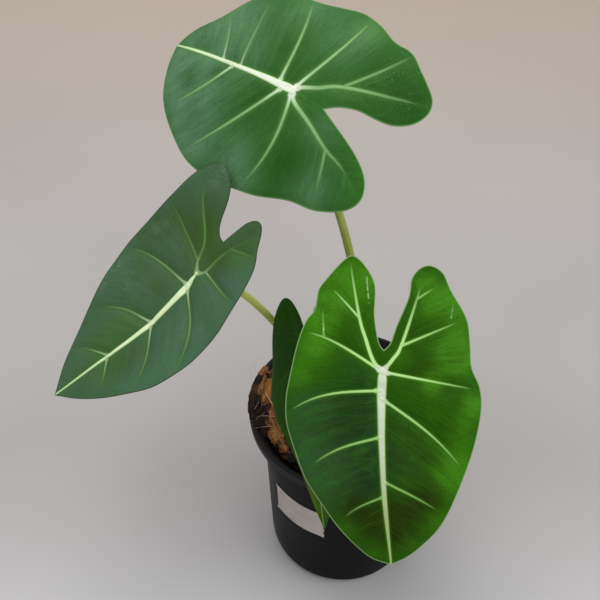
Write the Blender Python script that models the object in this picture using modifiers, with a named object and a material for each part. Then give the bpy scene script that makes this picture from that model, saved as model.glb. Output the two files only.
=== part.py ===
"""Potted green velvet alocasia: a black nursery pot, its coconut mix, the crown and four leaves.

Metres, +Z up, origin at the middle of the pot's flat base. The front is at -Y.
"""

import bpy
import numpy as np
from math import cos, pi, radians, sin
from mathutils import Matrix

MM = 0.001
MERGE = 0.02 * MM
SHARP_ANGLE = radians(40.0)

# Pot
POT_HEIGHT = 115.0 * MM
RIM_RADIUS = 52.5 * MM
RIM_BAND = 7.0 * MM
LIP_WIDTH = 2.2 * MM
LIP_ROUND = 0.8 * MM
RIM_DRAFT = 0.4 * MM
BODY_TOP_RADIUS = 45.2 * MM
BASE_RADIUS = 42.2 * MM
HEEL_RADIUS = 4.6 * MM
WALL = 1.5 * MM
FLOOR = 2.0 * MM
FLARE_LOW = 105.5 * MM
POT_SIDES = 44
DRAIN_COUNT = 6
DRAIN_RADIUS = 4.0 * MM
DRAIN_CIRCLE = 27.0 * MM
PEG_SIDES = 12

# Label on the pot's front left, as angles round the pot from +X and heights
LABEL_START = radians(-146.0)
LABEL_END = radians(-104.0)
LABEL_LOW = 53.0 * MM
LABEL_HEIGHT = 23.5 * MM
LABEL_THICK = 0.6 * MM
LABEL_STEPS = 9

# Potting mix and the crown that stands in its plain hole
FIT_GAP = 0.3 * MM
MIX_LEVEL = 107.5 * MM
MIX_RINGS = 9
MIX_BUMP = 1.5 * MM
MIX_EDGE_BUMP = 0.45 * MM
MIX_HOLE_MARGIN = 2.0 * MM
MIX_SEED = 7
MIX_CROWN_RISE = 1.5 * MM
CROWN_RADIUS = 10.5 * MM
CROWN_FOOT = 84.0 * MM
CROWN_TOP = 113.0 * MM
CROWN_DOME = 4.0 * MM
CROWN_CHAMFER = 2.0 * MM
CROWN_SIDES = 24
FOOT_RADIUS = 2.9 * MM
FOOT_CIRCLE = 5.6 * MM
FOOT_LEVEL = 107.0 * MM
SOCKET_GAP = 0.4 * MM

# Leaf blades
BLADE_THICK = 0.8 * MM
MIDRIB_DEPTH = 1.5 * MM
VEIN_DEPTH = 0.5 * MM
QUILT_HEIGHT = 0.9 * MM
MARGIN_WAVE = 1.0 * MM
MARGIN_WAVES = 2.5
COLUMNS = (0.0, 0.05, 0.3, 0.58, 0.82, 1.0)
INNER_COLUMNS = (0.0, 0.11, 0.5, 1.0)
PATH_STEPS = 16

# Spacing on a blade, in millimetres
VEIN_HALF = 1.3
ROW_STEP = 7.0
ROW_LEAST = 0.5
SNAP = 2.5
QUILT_SPAN = 20.0

# Shares and powers of a blade's form
VEIN_REACH = 0.9
INNER_SWELL = 0.5
SAME = 1e-6
RIB_THINNING = 0.75
SWELL_POWER = 0.7
LEFT_WAVE_TURN = 2.0

# A vein's swing as the sum of an even curve and one that comes late, each 1 at its peak
EVEN_SWING = 4.0
LATE_SWING = 6.75

# Leaf stalks
STALK_POINTS = 14
STALK_TOP_RADIUS = 1.75 * MM
STALK_LOW_RADIUS = 2.2 * MM
SHEATH_SHARE = 0.25
STALK_GAP = 0.42 * MM

# Each leaf. The junction is where stalk, midrib and lobes meet. "heading" runs from it along the midrib,
# "facing" is square to the upper face. Outlines and veins are (along the midrib, across) in millimetres
# from the junction: + along is towards the tip, + across is the leaf's right with the tip pointing down.
# Each side starts at the bottom of the notch between the lobes and ends at the tip.
# A vein is (where it leaves its rib, where it meets the margin, how far it swings back between them). The
# nearer "late_swing" is to 1, the nearer the margin the veins swing most.
# A stalk leaves its foot towards "foot_pull" and comes to the junction from "head_pull", as a Bezier curve.
LEAVES = {
    "front_leaf": {
        "junction": (10.8, -44.8, 193.9),
        "heading": (0.07, -0.72, -0.69),
        "facing": (0.10, -0.68, 0.72),
        "size": 1.0,
        "droop": 3.5,
        "fold": 1.5,
        "midrib": [(0, 0), (12, -1), (30, -1.5), (55, -0.8), (85, 2)],
        "right": [(-9, 1), (-12, 4), (-19, 7), (-31, 13), (-39, 15), (-43.5, 19), (-44.5, 24), (-41, 29),
                  (-33, 32), (-21, 38), (-10, 39), (0, 39), (9, 42), (19, 42), (37, 38), (53, 32), (68, 24),
                  (77.5, 14.8), (82.3, 8.4), (85, 2)],
        "right_costa": [(0, 0), (-5.5, 5), (-10.5, 8.5), (-30, 16.5), (-44.5, 22)],
        "right_veins": [((-30, 16.5), (-38, 31), 0), ((-10.5, 8.5), (-21, 38), 0), ((0, 0), (10, 41.5), 0),
                        ((11.5, -1), (46, 35), 2.8), ((46, -1), (64, 26), 1.2)],
        "left": [(-9, 1), (-13, -1), (-24, -2), (-37, -1), (-46, -5), (-50, -9.5), (-48, -14), (-41, -21),
                 (-36, -25), (-28, -27), (-23, -31), (-14, -35), (0, -39), (10, -41), (20, -41), (32, -38),
                 (44, -34), (56, -27), (67, -20), (77, -11.5), (82, -5.4),
                 (85, 2)],
        "left_costa": [(0, 0), (-5, -3.8), (-14.5, -6.5), (-23, -8.5), (-42, -10.5), (-50, -10.5)],
        "left_veins": [((-23, -8.5), (-41, -21), 0.5), ((0, 0), (-18.5, -33), 2.6),
                       ((7.5, -1), (16, -41), 4.2), ((27, -1.5), (42, -34.5), 3.8),
                       ((53, -1), (65, -21.5), 2.4)],
        "wave_turn": 0.4,
        "late_swing": 0.5,
        "finish": "leaf_green",
        "foot_angle": -52,
        "foot_pull": (0, 0, 30),
        "head_pull": (-3, 18, -19),
    },
    "top_leaf": {
        "junction": (-30.5, 43.3, 274.7),
        "heading": (-0.83, 0.56, 0.04),
        "facing": (-0.29, -0.49, 0.82),
        "size": 1.105,
        "droop": 5.4,
        "fold": 3.6,
        "midrib": [(0, 0), (14, -0.6), (39, -1.7), (75, -4)],
        "right": [(-16, 2), (-24, 6), (-30, 9), (-37, 13), (-43, 18), (-46, 24), (-45, 29.5), (-40, 34),
                  (-31, 37.5), (-20, 38.5), (-6, 42.5), (6, 44), (16, 45), (26, 43.5), (38, 40), (52, 31),
                  (64, 20), (72, 7), (75, -4)],
        "right_costa": [(0, 0), (-3.5, 4.2), (-13, 9), (-24.5, 15.5), (-33, 18.7), (-46, 25.5)],
        "right_veins": [((-24.5, 15.5), (-30, 37.5), 0.7), ((0, 0), (3, 43.5), 5.4), ((4, 0), (40, 39), 4.2),
                        ((31, -1.5), (59, 24.5), 3.8)],
        "left": [(-16, 2), (-21, -1), (-28, -3), (-36, -3), (-43, -4), (-49, -8), (-52, -14), (-51, -20),
                 (-45.5, -25.5), (-40.5, -29.5), (-36, -33.2), (-32, -34.8), (-28, -35), (-24, -36),
                 (-17, -39.5), (-7, -42.3), (2, -42), (14, -41), (26, -41), (35, -39), (47, -34), (58, -22),
                 (69, -13), (75, -4)],
        "left_costa": [(0, 0), (-2, -1.8), (-9.5, -4.7), (-18, -9), (-39, -14), (-51.5, -17.5)],
        "left_veins": [((-18, -9), (-34.5, -33), 1.3), ((0, 0), (-12, -41.5), 1.7),
                       ((7, -0.5), (19, -41), 2.9), ((28, -1.5), (38, -38), 0.8),
                       ((39, -2), (56, -25.5), 2.6)],
        "wave_turn": 1.6,
        "late_swing": 0.2,
        "finish": "leaf_green",
        "foot_angle": 40,
        "foot_pull": (8.4, -0.5, 95),
        "head_pull": (3.5, 18.6, -29.1),
    },
    "left_leaf": {
        "junction": (-69.6, -12.8, 218.1),
        "heading": (-0.69, -0.41, -0.60),
        "facing": (-0.42, -0.45, 0.79),
        "size": 0.98,
        "droop": -3.2,
        "fold": -4.3,
        "midrib": [(0, 0), (7, 1.3), (17.5, 2), (30, 2.4), (43, 1.6), (58, 0), (83, -1)],
        "right": [(-18, -1), (-24, 0), (-32, 2), (-36, 6), (-34, 11), (-28, 15.5), (-22, 21), (-14, 25),
                  (-4, 29), (8, 33), (22, 33.5), (34, 32), (45, 29.5), (56, 23), (67, 15), (76, 7), (83, -1)],
        "right_costa": [(0, 0), (-3.5, 3), (-12, 3.4), (-19, 5), (-28, 8), (-35.5, 8.5)],
        "right_veins": [((-19, 5), (-25, 18.5), 0), ((-3.5, 3), (-6, 28.5), -1), ((7, 1.3), (34, 32), 6),
                        ((30, 2.4), (53.5, 24.5), 3.3), ((55, 0.3), (68, 14), 1.5)],
        "left": [(-18, -1), (-19, -5), (-23, -9), (-33, -14), (-39, -19), (-42, -25), (-41, -29), (-35, -33),
                 (-27, -35), (-17, -35.5), (-4, -36), (13, -36), (26, -33), (39, -29), (55, -22), (71, -12),
                 (83, -1)],
        "left_costa": [(0, 0), (-4, -4), (-10, -6.8), (-15, -11.7), (-21, -19.5), (-28, -26), (-41, -29)],
        "left_veins": [((-4, -4), (-13, -35.7), 0), ((6.7, 1), (18.5, -35), 3), ((29, 2.4), (50, -24), 5),
                       ((54, 0.5), (66, -15), 1.5)],
        "wave_turn": 2.9,
        "late_swing": 0.7,
        "finish": "leaf_deep_green",
        "foot_angle": 125,
        "foot_pull": (-22.9, 14.5, 14),
        "head_pull": (21.2, 42.9, -45.1),
    },
    "side_leaf": {
        "junction": (-21.7, -11.3, 167.8),
        "heading": (0.10, -0.84, -0.53),
        "facing": (-0.76, -0.41, 0.51),
        "size": 1.0,
        "droop": 1.0,
        "fold": 2.0,
        "midrib": [(0, 0), (27, 0), (54, -0.5), (81, -1)],
        "right": [(-8, 0), (-11, 3), (-17, 5), (-22, 9), (-24, 14), (-21, 19), (-15, 23), (-7, 26), (3, 28),
                  (14, 28.5), (27, 27), (40, 23), (53, 17), (66, 10), (75, 4), (81, -1)],
        "right_costa": [(0, 0), (-3, 2), (-12, 8), (-24, 13)],
        "right_veins": [((-5, 4), (-7, 26), 1), ((4, 0), (16, 28), 3), ((24, 0), (42, 22), 2.5),
                        ((45, 0), (60, 13), 1.5)],
        "left": [(-8, 0), (-13, -2), (-20, -5), (-27, -10), (-30, -15), (-28.5, -20), (-22, -25), (-12, -28),
                 (0, -30.5), (12, -33), (20, -31.5), (30, -27), (40, -22), (50, -16), (61, -10), (72, -5),
                 (81, -1)],
        "left_costa": [(0, 0), (-3, -2), (-14, -9), (-30, -16)],
        "left_veins": [((-5, -3), (-12, -28), 1), ((4, 0), (16, -32), 3), ((24, 0), (42, -21), 2.5),
                       ((45, 0), (60, -10.5), 1.5)],
        "wave_turn": 4.0,
        "late_swing": 0.3,
        "finish": "leaf_deep_green",
        "foot_angle": 232,
        "foot_pull": (0, 0, 20),
        "head_pull": (15, 8, -10),
    },
}

# Colours as linear red, green, blue, then roughness
FINISHES = {
    "black_plastic": ((0.012, 0.012, 0.013), 0.38),
    "tape": ((0.42, 0.37, 0.33), 0.6),
    "coconut_mix": ((0.16, 0.075, 0.035), 0.95),
    "crown_skin": ((0.12, 0.13, 0.04), 0.7),
    "leaf_green": ((0.022, 0.11, 0.012), 0.42),
    "leaf_deep_green": ((0.012, 0.055, 0.012), 0.45),
    "stalk_green": ((0.23, 0.30, 0.05), 0.5),
}


# Scene and materials

def clear_scene():
    for thing in list(bpy.data.objects):
        bpy.data.objects.remove(thing, do_unlink=True)


def make_collection(name):
    group = bpy.data.collections.new(name)
    bpy.context.scene.collection.children.link(group)
    return group


def make_finish(name):
    colour, roughness = FINISHES[name]
    material = bpy.data.materials.new(name)
    material.use_nodes = True
    shader = material.node_tree.nodes["Principled BSDF"]
    shader.inputs["Base Color"].default_value = (*colour, 1.0)
    shader.inputs["Roughness"].default_value = roughness
    shader.inputs["Metallic"].default_value = 0.0
    material.diffuse_color = (*colour, 1.0)
    return material


def add_mesh(name, points, faces, finish, group):
    """Make one object from points in metres and a list of faces that point outwards."""
    mesh = bpy.data.meshes.new(name)
    mesh.from_pydata([tuple(map(float, p)) for p in points], [], [tuple(map(int, f)) for f in faces])
    mesh.validate()
    mesh.shade_smooth()
    mesh.set_sharp_from_angle(angle=SHARP_ANGLE)
    mesh.materials.append(make_finish(finish))
    thing = bpy.data.objects.new(name, mesh)
    group.objects.link(thing)
    return thing


def cut(target, cutter, name):
    """Take a cutter out of a target with a Boolean modifier that stays on it."""
    cutter.hide_render = True
    cutter.display_type = "WIRE"
    step = target.modifiers.new(name, "BOOLEAN")
    step.operation = "DIFFERENCE"
    step.solver = "EXACT"
    step.object = cutter


def add_peg(name, x, y, low, high, radius, sides, group):
    """A plain upright cylinder, used as a cutter."""
    bpy.ops.mesh.primitive_cylinder_add(vertices=sides, radius=radius, depth=high - low,
                                        location=(x, y, (low + high) / 2))
    peg = bpy.context.object
    peg.name = name
    for owner in list(peg.users_collection):
        owner.objects.unlink(peg)
    group.objects.link(peg)
    return peg


def turned(name, profile, sides, finish, group):
    """Turn an (r, z) profile round Z. It starts and ends on the axis and runs down its outer side."""
    mesh = bpy.data.meshes.new(name)
    edges = [(i, i + 1) for i in range(len(profile) - 1)]
    mesh.from_pydata([(r, 0.0, z) for r, z in profile], edges, [])
    mesh.materials.append(make_finish(finish))
    thing = bpy.data.objects.new(name, mesh)
    group.objects.link(thing)
    screw = thing.modifiers.new("turn", "SCREW")
    screw.axis = "Z"
    screw.angle = 2 * pi
    screw.steps = sides
    screw.render_steps = sides
    screw.use_merge_vertices = True
    screw.merge_threshold = MERGE
    return thing


def arc(centre_r, centre_z, radius, start, end, count):
    """Points on a round corner of a profile, angles in degrees from +r."""
    angles = np.radians(np.linspace(start, end, count))
    return [(centre_r + radius * cos(a), centre_z + radius * sin(a)) for a in angles]


# Pot and label

def body_radius(z):
    """Outer radius of the pot's tapered body at a height."""
    share = z / (POT_HEIGHT - RIM_BAND)
    return BASE_RADIUS + (BODY_TOP_RADIUS - BASE_RADIUS) * share


def inner_radius(z):
    """Inner radius of the pot: the body's wall, then a flare out to the rim's lip."""
    flare = np.clip((z - FLARE_LOW) / (POT_HEIGHT - LIP_ROUND - FLARE_LOW), 0.0, 1.0)
    wall = body_radius(min(z, FLARE_LOW)) - WALL
    return wall + (RIM_RADIUS - LIP_WIDTH - wall) * flare


def make_pot(group, cutters):
    """One turned shell, from the floor's middle up the inside, over the lip and down the outside."""
    rim_low = POT_HEIGHT - RIM_BAND
    band_radius = RIM_RADIUS - RIM_DRAFT
    heel_r = BASE_RADIUS - HEEL_RADIUS
    profile = [(0.0, FLOOR)]
    profile += arc(heel_r, HEEL_RADIUS, HEEL_RADIUS - FLOOR, -90, 0, 4)
    profile += [(inner_radius(z), z) for z in np.linspace(FLARE_LOW, POT_HEIGHT - LIP_ROUND, 4)]
    profile += arc(RIM_RADIUS - LIP_WIDTH + LIP_ROUND, POT_HEIGHT - LIP_ROUND, LIP_ROUND, 150, 90, 3)
    profile += arc(RIM_RADIUS - LIP_ROUND, POT_HEIGHT - LIP_ROUND, LIP_ROUND, 90, 0, 4)
    profile += [(band_radius, rim_low + LIP_ROUND), (band_radius - LIP_ROUND, rim_low)]
    profile += [(BODY_TOP_RADIUS + LIP_ROUND, rim_low), (BODY_TOP_RADIUS, rim_low - LIP_ROUND)]
    profile += arc(heel_r, HEEL_RADIUS, HEEL_RADIUS, 0, -90, 5)
    profile += [(0.0, 0.0)]
    pot = turned("nursery_pot", profile, POT_SIDES, "black_plastic", group)
    for i in range(DRAIN_COUNT):
        turn = 2 * pi * i / DRAIN_COUNT
        peg = add_peg(f"drain_cutter_{i + 1}", DRAIN_CIRCLE * cos(turn), DRAIN_CIRCLE * sin(turn),
                      -WALL, 2 * FLOOR, DRAIN_RADIUS, PEG_SIDES, cutters)
        cut(pot, peg, f"drain_{i + 1}")
    return pot


def make_label(group):
    """A strip of tape that follows the pot's round: four-cornered sections set side by side."""
    turns = np.linspace(LABEL_START, LABEL_END, LABEL_STEPS)
    low, high = LABEL_LOW, LABEL_LOW + LABEL_HEIGHT
    points = []
    for turn in turns:
        for z, out in ((low, LABEL_THICK), (high, LABEL_THICK), (high, 0.0), (low, 0.0)):
            r = body_radius(z) + FIT_GAP + out
            points.append((r * cos(turn), r * sin(turn), z))
    faces = [(0, 1, 2, 3)]
    for i in range(LABEL_STEPS - 1):
        a, b = 4 * i, 4 * i + 4
        faces += [(a + (j + 1) % 4, a + j, b + j, b + (j + 1) % 4) for j in range(4)]
    last = 4 * (LABEL_STEPS - 1)
    faces.append((last + 3, last + 2, last + 1, last))
    return add_mesh("pot_label", points, faces, "tape", group)


# Potting mix and crown

def make_mix(group):
    """Rings from the pot's floor, up its wall, in over the lumpy top and down the plain hole."""
    rng = np.random.default_rng(MIX_SEED)
    turns = np.linspace(0.0, 2 * pi, POT_SIDES, endpoint=False)
    hole = CROWN_RADIUS + FIT_GAP
    hole_floor = CROWN_FOOT - FIT_GAP
    floor = FLOOR + FIT_GAP
    rings = [(BASE_RADIUS - HEEL_RADIUS, floor, 0.0), (BASE_RADIUS - FLOOR - 2 * FIT_GAP, HEEL_RADIUS, 0.0)]
    rings += [(inner_radius(FLARE_LOW) - 2 * FIT_GAP, FLARE_LOW, 0.0)]
    edge = inner_radius(MIX_LEVEL) - 2 * FIT_GAP
    for share in np.linspace(0.0, 1.0, MIX_RINGS):
        r = edge + (hole + MIX_HOLE_MARGIN - edge) * share
        rings.append((r, MIX_LEVEL + MIX_CROWN_RISE * share, MIX_BUMP if share > 0.0 else MIX_EDGE_BUMP))
    rings += [(hole, MIX_LEVEL + MIX_CROWN_RISE, 0.0), (hole, hole_floor, 0.0)]
    points = [(0.0, 0.0, floor)]
    for r, z, bump in rings:
        lumps = bump * rng.uniform(-1.0, 1.0, POT_SIDES)
        points += [(r * cos(t), r * sin(t), z + lump) for t, lump in zip(turns, lumps)]
    points.append((0.0, 0.0, hole_floor))
    faces = []
    for side in range(POT_SIDES):
        after = (side + 1) % POT_SIDES
        faces.append((0, 1 + after, 1 + side))
        for ring in range(len(rings) - 1):
            a, b = 1 + ring * POT_SIDES, 1 + (ring + 1) * POT_SIDES
            faces.append((a + side, a + after, b + after))
            faces.append((a + side, b + after, b + side))
        last = 1 + (len(rings) - 1) * POT_SIDES
        faces.append((last + side, last + after, len(points) - 1))
    return add_mesh("potting_mix", points, faces, "coconut_mix", group)


def foot_place(leaf):
    """Where a leaf's stalk stands on the crown."""
    turn = radians(leaf["foot_angle"])
    return FOOT_CIRCLE * cos(turn), FOOT_CIRCLE * sin(turn)


def make_crown(group, cutters):
    """A short stem, domed like a quarter ellipse turned round, with one round socket for each stalk."""
    profile = [(CROWN_RADIUS * cos(a), CROWN_TOP - CROWN_DOME * (1.0 - sin(a)))
               for a in np.radians(np.linspace(90.0, 0.0, 5))]
    profile[0] = (0.0, CROWN_TOP)
    profile += [(CROWN_RADIUS, CROWN_FOOT + CROWN_CHAMFER), (CROWN_RADIUS - CROWN_CHAMFER, CROWN_FOOT),
                (0.0, CROWN_FOOT)]
    crown = turned("alocasia_crown", profile, CROWN_SIDES, "crown_skin", group)
    for name, leaf in LEAVES.items():
        x, y = foot_place(leaf)
        peg = add_peg(f"{name}_socket_cutter", x, y, FOOT_LEVEL - FIT_GAP, CROWN_TOP + CROWN_DOME,
                      FOOT_RADIUS + SOCKET_GAP, PEG_SIDES, cutters)
        cut(crown, peg, f"{name}_socket")
    return crown


# Leaf blades

def smooth(points):
    """A smooth path (Catmull-Rom) through hand-set points, as many close points."""
    p = np.array(points, float)
    ends = np.vstack([2 * p[0] - p[1], p, 2 * p[-1] - p[-2]])
    t = np.linspace(0.0, 1.0, PATH_STEPS, endpoint=False)[:, None]
    parts = []
    for a, b, c, d in zip(ends[:-3], ends[1:-2], ends[2:-1], ends[3:]):
        parts.append(b + 0.5 * ((c - a) * t + (2 * a - 5 * b + 4 * c - d) * t ** 2
                                + (3 * b - a - 3 * c + d) * t ** 3))
    return np.vstack([*parts, p[-1:]])


def run_of(path):
    """Distance along a path at each of its points."""
    return np.concatenate([[0.0], np.cumsum(np.linalg.norm(np.diff(path, axis=0), axis=1))])


def along(path, run, distances):
    """The points at some distances along a path."""
    return np.stack([np.interp(distances, run, path[:, i]) for i in range(2)], -1)


def nearest(path, point):
    """Number of the path's point that lies nearest a point."""
    return np.argmin(np.linalg.norm(path - np.array(point, float), axis=1))


def make_half(leaf, side):
    """Lines of one half of a blade: the spine from the lobe's end through the junction to the tip, the outer
    margin beside it, the lobe's inner edge, and where each vein leaves the spine and meets the margin.

    Distances on the spine are counted from the junction, and are negative in the lobe.
    """
    outline = smooth(leaf[side])
    costa = smooth(leaf[side + "_costa"])
    lobe_end = nearest(outline, costa[-1])
    costa[-1] = outline[lobe_end]
    margin, lobe = outline[lobe_end:], outline[:lobe_end + 1][::-1]
    midrib = smooth(leaf["midrib"])
    spine = np.vstack([costa[::-1], midrib[1:]])
    spine_run = np.concatenate([-run_of(costa)[::-1], run_of(midrib)[1:]])
    margin_run = run_of(margin)
    starts, ends, swings = [spine_run[0]], [0.0], [0.0]
    for start, end, swing in leaf[side + "_veins"]:
        distance = spine_run[nearest(spine, start)]
        starts.append(0.0 if abs(distance) < SNAP else distance)
        ends.append(margin_run[nearest(margin, end)])
        swings.append(swing)
    return {
        "spine": spine, "spine_run": spine_run, "margin": margin, "margin_run": margin_run,
        "lobe": lobe, "lobe_run": run_of(lobe),
        "starts": np.array(starts + [spine_run[-1]]), "ends": np.array(ends + [margin_run[-1]]),
        "swings": np.array(swings + [0.0]),
    }


def stations(low, high, veins):
    """Distances of a grid's rows along the spine: each vein, both its sides, and even steps between."""
    near = [v + shift for v in veins for shift in (-VEIN_HALF, 0.0, VEIN_HALF)]
    marks = sorted({low, high, *[v for v in near if low + ROW_LEAST < v < high - ROW_LEAST]})
    rows = [low]
    for a, b in zip(marks[:-1], marks[1:]):
        count = max(1, round((b - a) / ROW_STEP))
        rows += list(np.linspace(a, b, count + 1)[1:])
    return np.array(rows)


def rib_depth(points, leaf, half):
    """Depth of the main ribs under the blade: deepest at the junction, thin at the tip and the lobe's end."""
    reach = np.linalg.norm(points, axis=-1)
    ahead = np.linalg.norm(leaf["midrib"][-1])
    behind = np.linalg.norm(half["spine"][0])
    limit = np.where(points[..., 0] > 0.0, ahead, behind)
    return MIDRIB_DEPTH / MM * (1.0 - RIB_THINNING * np.clip(reach / limit, 0.0, 1.0))


def swung(leaf, u):
    """Share of a vein's swing at each share of its way from rib to margin."""
    late = leaf["late_swing"]
    return u * (1 - u) * (EVEN_SWING * (1 - late) + LATE_SWING * late * u)


def outer_patch(leaf, half, side, rows):
    """Grid from the spine out to the margin. Each point is along, across, lift and depth of rib."""
    count = np.interp(rows, half["starts"], np.arange(len(half["starts"])))[:, None]
    margin_at = np.interp(rows, half["starts"], half["ends"])
    a = along(half["spine"], half["spine_run"], rows)[:, None, :]
    b = along(half["margin"], half["margin_run"], margin_at)[:, None, :]
    u = np.array(COLUMNS)[None, :]
    points = a + (b - a) * u[..., None]
    span = np.linalg.norm(b - a, axis=-1)
    points[..., 0] -= np.interp(rows, half["starts"], half["swings"])[:, None] * swung(leaf, u)
    swell = QUILT_HEIGHT / MM * np.sin(pi * (count % 1.0)) * np.sin(pi * u) ** SWELL_POWER
    swell = swell * np.clip(span / QUILT_SPAN, 0.0, 1.0)
    share = (margin_at / half["margin_run"][-1])[:, None]
    turn = leaf["wave_turn"] + (0.0 if side == "right" else LEFT_WAVE_TURN)
    wave = MARGIN_WAVE / MM * u ** 2 * np.sin(2 * pi * MARGIN_WAVES * share + turn) * np.sin(pi * share)
    on_vein = np.abs(count - np.round(count)) < SAME
    ribs = rib_depth(a, leaf, half) * (u == 0.0)
    ribs = ribs + VEIN_DEPTH / MM * on_vein * (u > 0.0) * (u < VEIN_REACH)
    return np.dstack([points, swell + wave, ribs])


def inner_patch(leaf, half, rows):
    """Grid from the lobe's rib in to the notch between the lobes, down to the line from junction to notch."""
    share = ((rows - rows[0]) / -rows[0])[:, None]
    a = along(half["spine"], half["spine_run"], rows)[:, None, :]
    b = along(half["lobe"], half["lobe_run"], share[:, 0] * half["lobe_run"][-1])[:, None, :]
    u = np.array(INNER_COLUMNS)[None, :]
    points = a + (b - a) * u[..., None]
    swell = INNER_SWELL * QUILT_HEIGHT / MM * np.sin(pi * share) * np.sin(pi * u)
    ribs = rib_depth(a, leaf, half) * (u == 0.0)
    return np.dstack([points, swell, ribs])


def grid_triangles(rows, columns, start, flip):
    """Two triangles for each cell of a grid whose points are numbered from start."""
    i, j = np.meshgrid(np.arange(rows - 1), np.arange(columns - 1), indexing="ij")
    a = start + (i * columns + j).ravel()
    b, c, d = a + 1, a + columns + 1, a + columns
    cells = np.concatenate([np.stack([a, b, c], -1), np.stack([a, c, d], -1)])
    return cells[:, ::-1] if flip else cells


def weld(points, triangles):
    """Join points that share a place in the blade and drop triangles that close up."""
    _, first, number = np.unique(np.round(points[:, :2], 4), axis=0, return_index=True, return_inverse=True)
    triangles = number.reshape(-1)[triangles]
    a, b, c = triangles.T
    return points[first], triangles[(a != b) & (b != c) & (c != a)]


def bend(leaf, flat, lift):
    """Curve a flat blade, in metres from its junction: droop turns it along the midrib, fold across it."""
    droop = leaf["droop"] / 1000.0
    x, y = leaf["size"] * flat[:, 0], leaf["size"] * flat[:, 1]
    lift = lift - leaf["fold"] / 1000.0 * y ** 2
    turn = droop * x
    ahead = np.sin(turn) / droop + lift * np.sin(turn)
    above = (np.cos(turn) - 1.0) / droop + lift * np.cos(turn)
    return np.stack([ahead, y, above], -1) * MM


def facing_of(leaf):
    facing = np.array(leaf["facing"])
    return facing / np.linalg.norm(facing)


def leaf_frame(leaf):
    """Where a blade stands: X along the midrib, Y to the leaf's right, Z off its upper face."""
    facing = facing_of(leaf)
    heading = np.array(leaf["heading"])
    heading = heading - facing * heading.dot(facing)
    heading = heading / np.linalg.norm(heading)
    place = np.eye(4)
    place[:3, 0] = heading
    place[:3, 1] = np.cross(facing, heading)
    place[:3, 2] = facing
    place[:3, 3] = np.array(leaf["junction"]) * MM
    return Matrix(place.tolist())


def make_blade(name, leaf, finish, group):
    """A waved blade: the same triangles on both faces, a thin wall round the edge, ribs below."""
    halves = {side: make_half(leaf, side) for side in ("right", "left")}
    starts = np.concatenate([half["starts"] for half in halves.values()])
    ahead = stations(0.0, halves["right"]["spine_run"][-1], starts)
    grids, triangles, start = [], [], 0
    for side, flip in (("right", True), ("left", False)):
        half = halves[side]
        behind = stations(half["spine_run"][0], 0.0, half["starts"])
        outer = outer_patch(leaf, half, side, np.concatenate([behind, ahead[1:]]))
        inner = inner_patch(leaf, half, behind)
        for grid, turned_over in ((outer, flip), (inner, not flip)):
            rows, columns = grid.shape[:2]
            triangles.append(grid_triangles(rows, columns, start, turned_over))
            grids.append(grid.reshape(-1, 4))
            start += rows * columns
    points, triangles = weld(np.vstack(grids), np.vstack(triangles))
    flat, lift, ribs = points[:, :2], points[:, 2], points[:, 3]
    top = bend(leaf, flat, lift)
    under = bend(leaf, flat, lift - BLADE_THICK / MM - ribs)
    count = len(points)
    sides = np.vstack([triangles[:, [0, 1]], triangles[:, [1, 2]], triangles[:, [2, 0]]])
    all_sides = {(a, b) for a, b in sides.tolist()}
    edge = [(a, b) for a, b in sides.tolist() if (b, a) not in all_sides]
    faces = triangles.tolist() + (triangles[:, ::-1] + count).tolist()
    for a, b in edge:
        faces += [(b, a, a + count), (b, a + count, b + count)]
    blade = add_mesh(f"{name}_blade", np.vstack([top, under]), faces, finish, group)
    blade.matrix_world = leaf_frame(leaf)
    return blade


# Leaf stalks

def make_stalk(name, leaf, group):
    """A tapering tube, upright in its socket, then on one smooth curve to just under the junction."""
    facing = facing_of(leaf)
    x, y = foot_place(leaf)
    foot = np.array([x, y, FOOT_LEVEL])
    start = np.array([x, y, CROWN_TOP])
    head = np.array(leaf["junction"]) * MM - facing * (BLADE_THICK + MIDRIB_DEPTH + STALK_GAP)
    low = start + np.array(leaf["foot_pull"]) * MM
    high = head + np.array(leaf["head_pull"]) * MM
    t = np.linspace(0.0, 1.0, STALK_POINTS - 1)[:, None]
    path = start * (1 - t) ** 3 + 3 * low * t * (1 - t) ** 2 + 3 * high * t ** 2 * (1 - t) + head * t ** 3
    path = np.vstack([foot, path]) - foot
    shares = [0.0, *t[:, 0]]
    curve = bpy.data.curves.new(f"{name}_petiole", "CURVE")
    curve.dimensions = "3D"
    curve.bevel_depth = STALK_TOP_RADIUS
    curve.bevel_resolution = 2
    curve.use_fill_caps = True
    spline = curve.splines.new("POLY")
    spline.points.add(STALK_POINTS - 1)
    for point, place, share in zip(spline.points, path, shares):
        taper = STALK_LOW_RADIUS + (STALK_TOP_RADIUS - STALK_LOW_RADIUS) * share
        sheath = (FOOT_RADIUS - STALK_LOW_RADIUS) * max(0.0, 1.0 - share / SHEATH_SHARE) ** 2
        point.co = (*place, 1.0)
        point.radius = (taper + sheath) / STALK_TOP_RADIUS
    curve.materials.append(make_finish("stalk_green"))
    stalk = bpy.data.objects.new(f"{name}_petiole", curve)
    stalk.location = foot
    group.objects.link(stalk)
    return stalk


def hold(*groups):
    """Hang every part and cutter on one empty at the pot's base, so the whole plant moves as one."""
    stand = bpy.data.objects.new("pot_base", None)
    groups[0].objects.link(stand)
    for group in groups:
        for thing in group.objects:
            if thing is not stand:
                thing.parent = stand


def main():
    clear_scene()
    group = make_collection("potted_green_velvet_alocasia")
    cutters = make_collection("cutters")
    make_pot(group, cutters)
    make_label(group)
    make_mix(group)
    make_crown(group, cutters)
    for name, leaf in LEAVES.items():
        make_blade(name, leaf, leaf["finish"], group)
        make_stalk(name, leaf, group)
    hold(group, cutters)


main()
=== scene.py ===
import bpy
import numpy as np
from mathutils import Matrix, Vector


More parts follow.
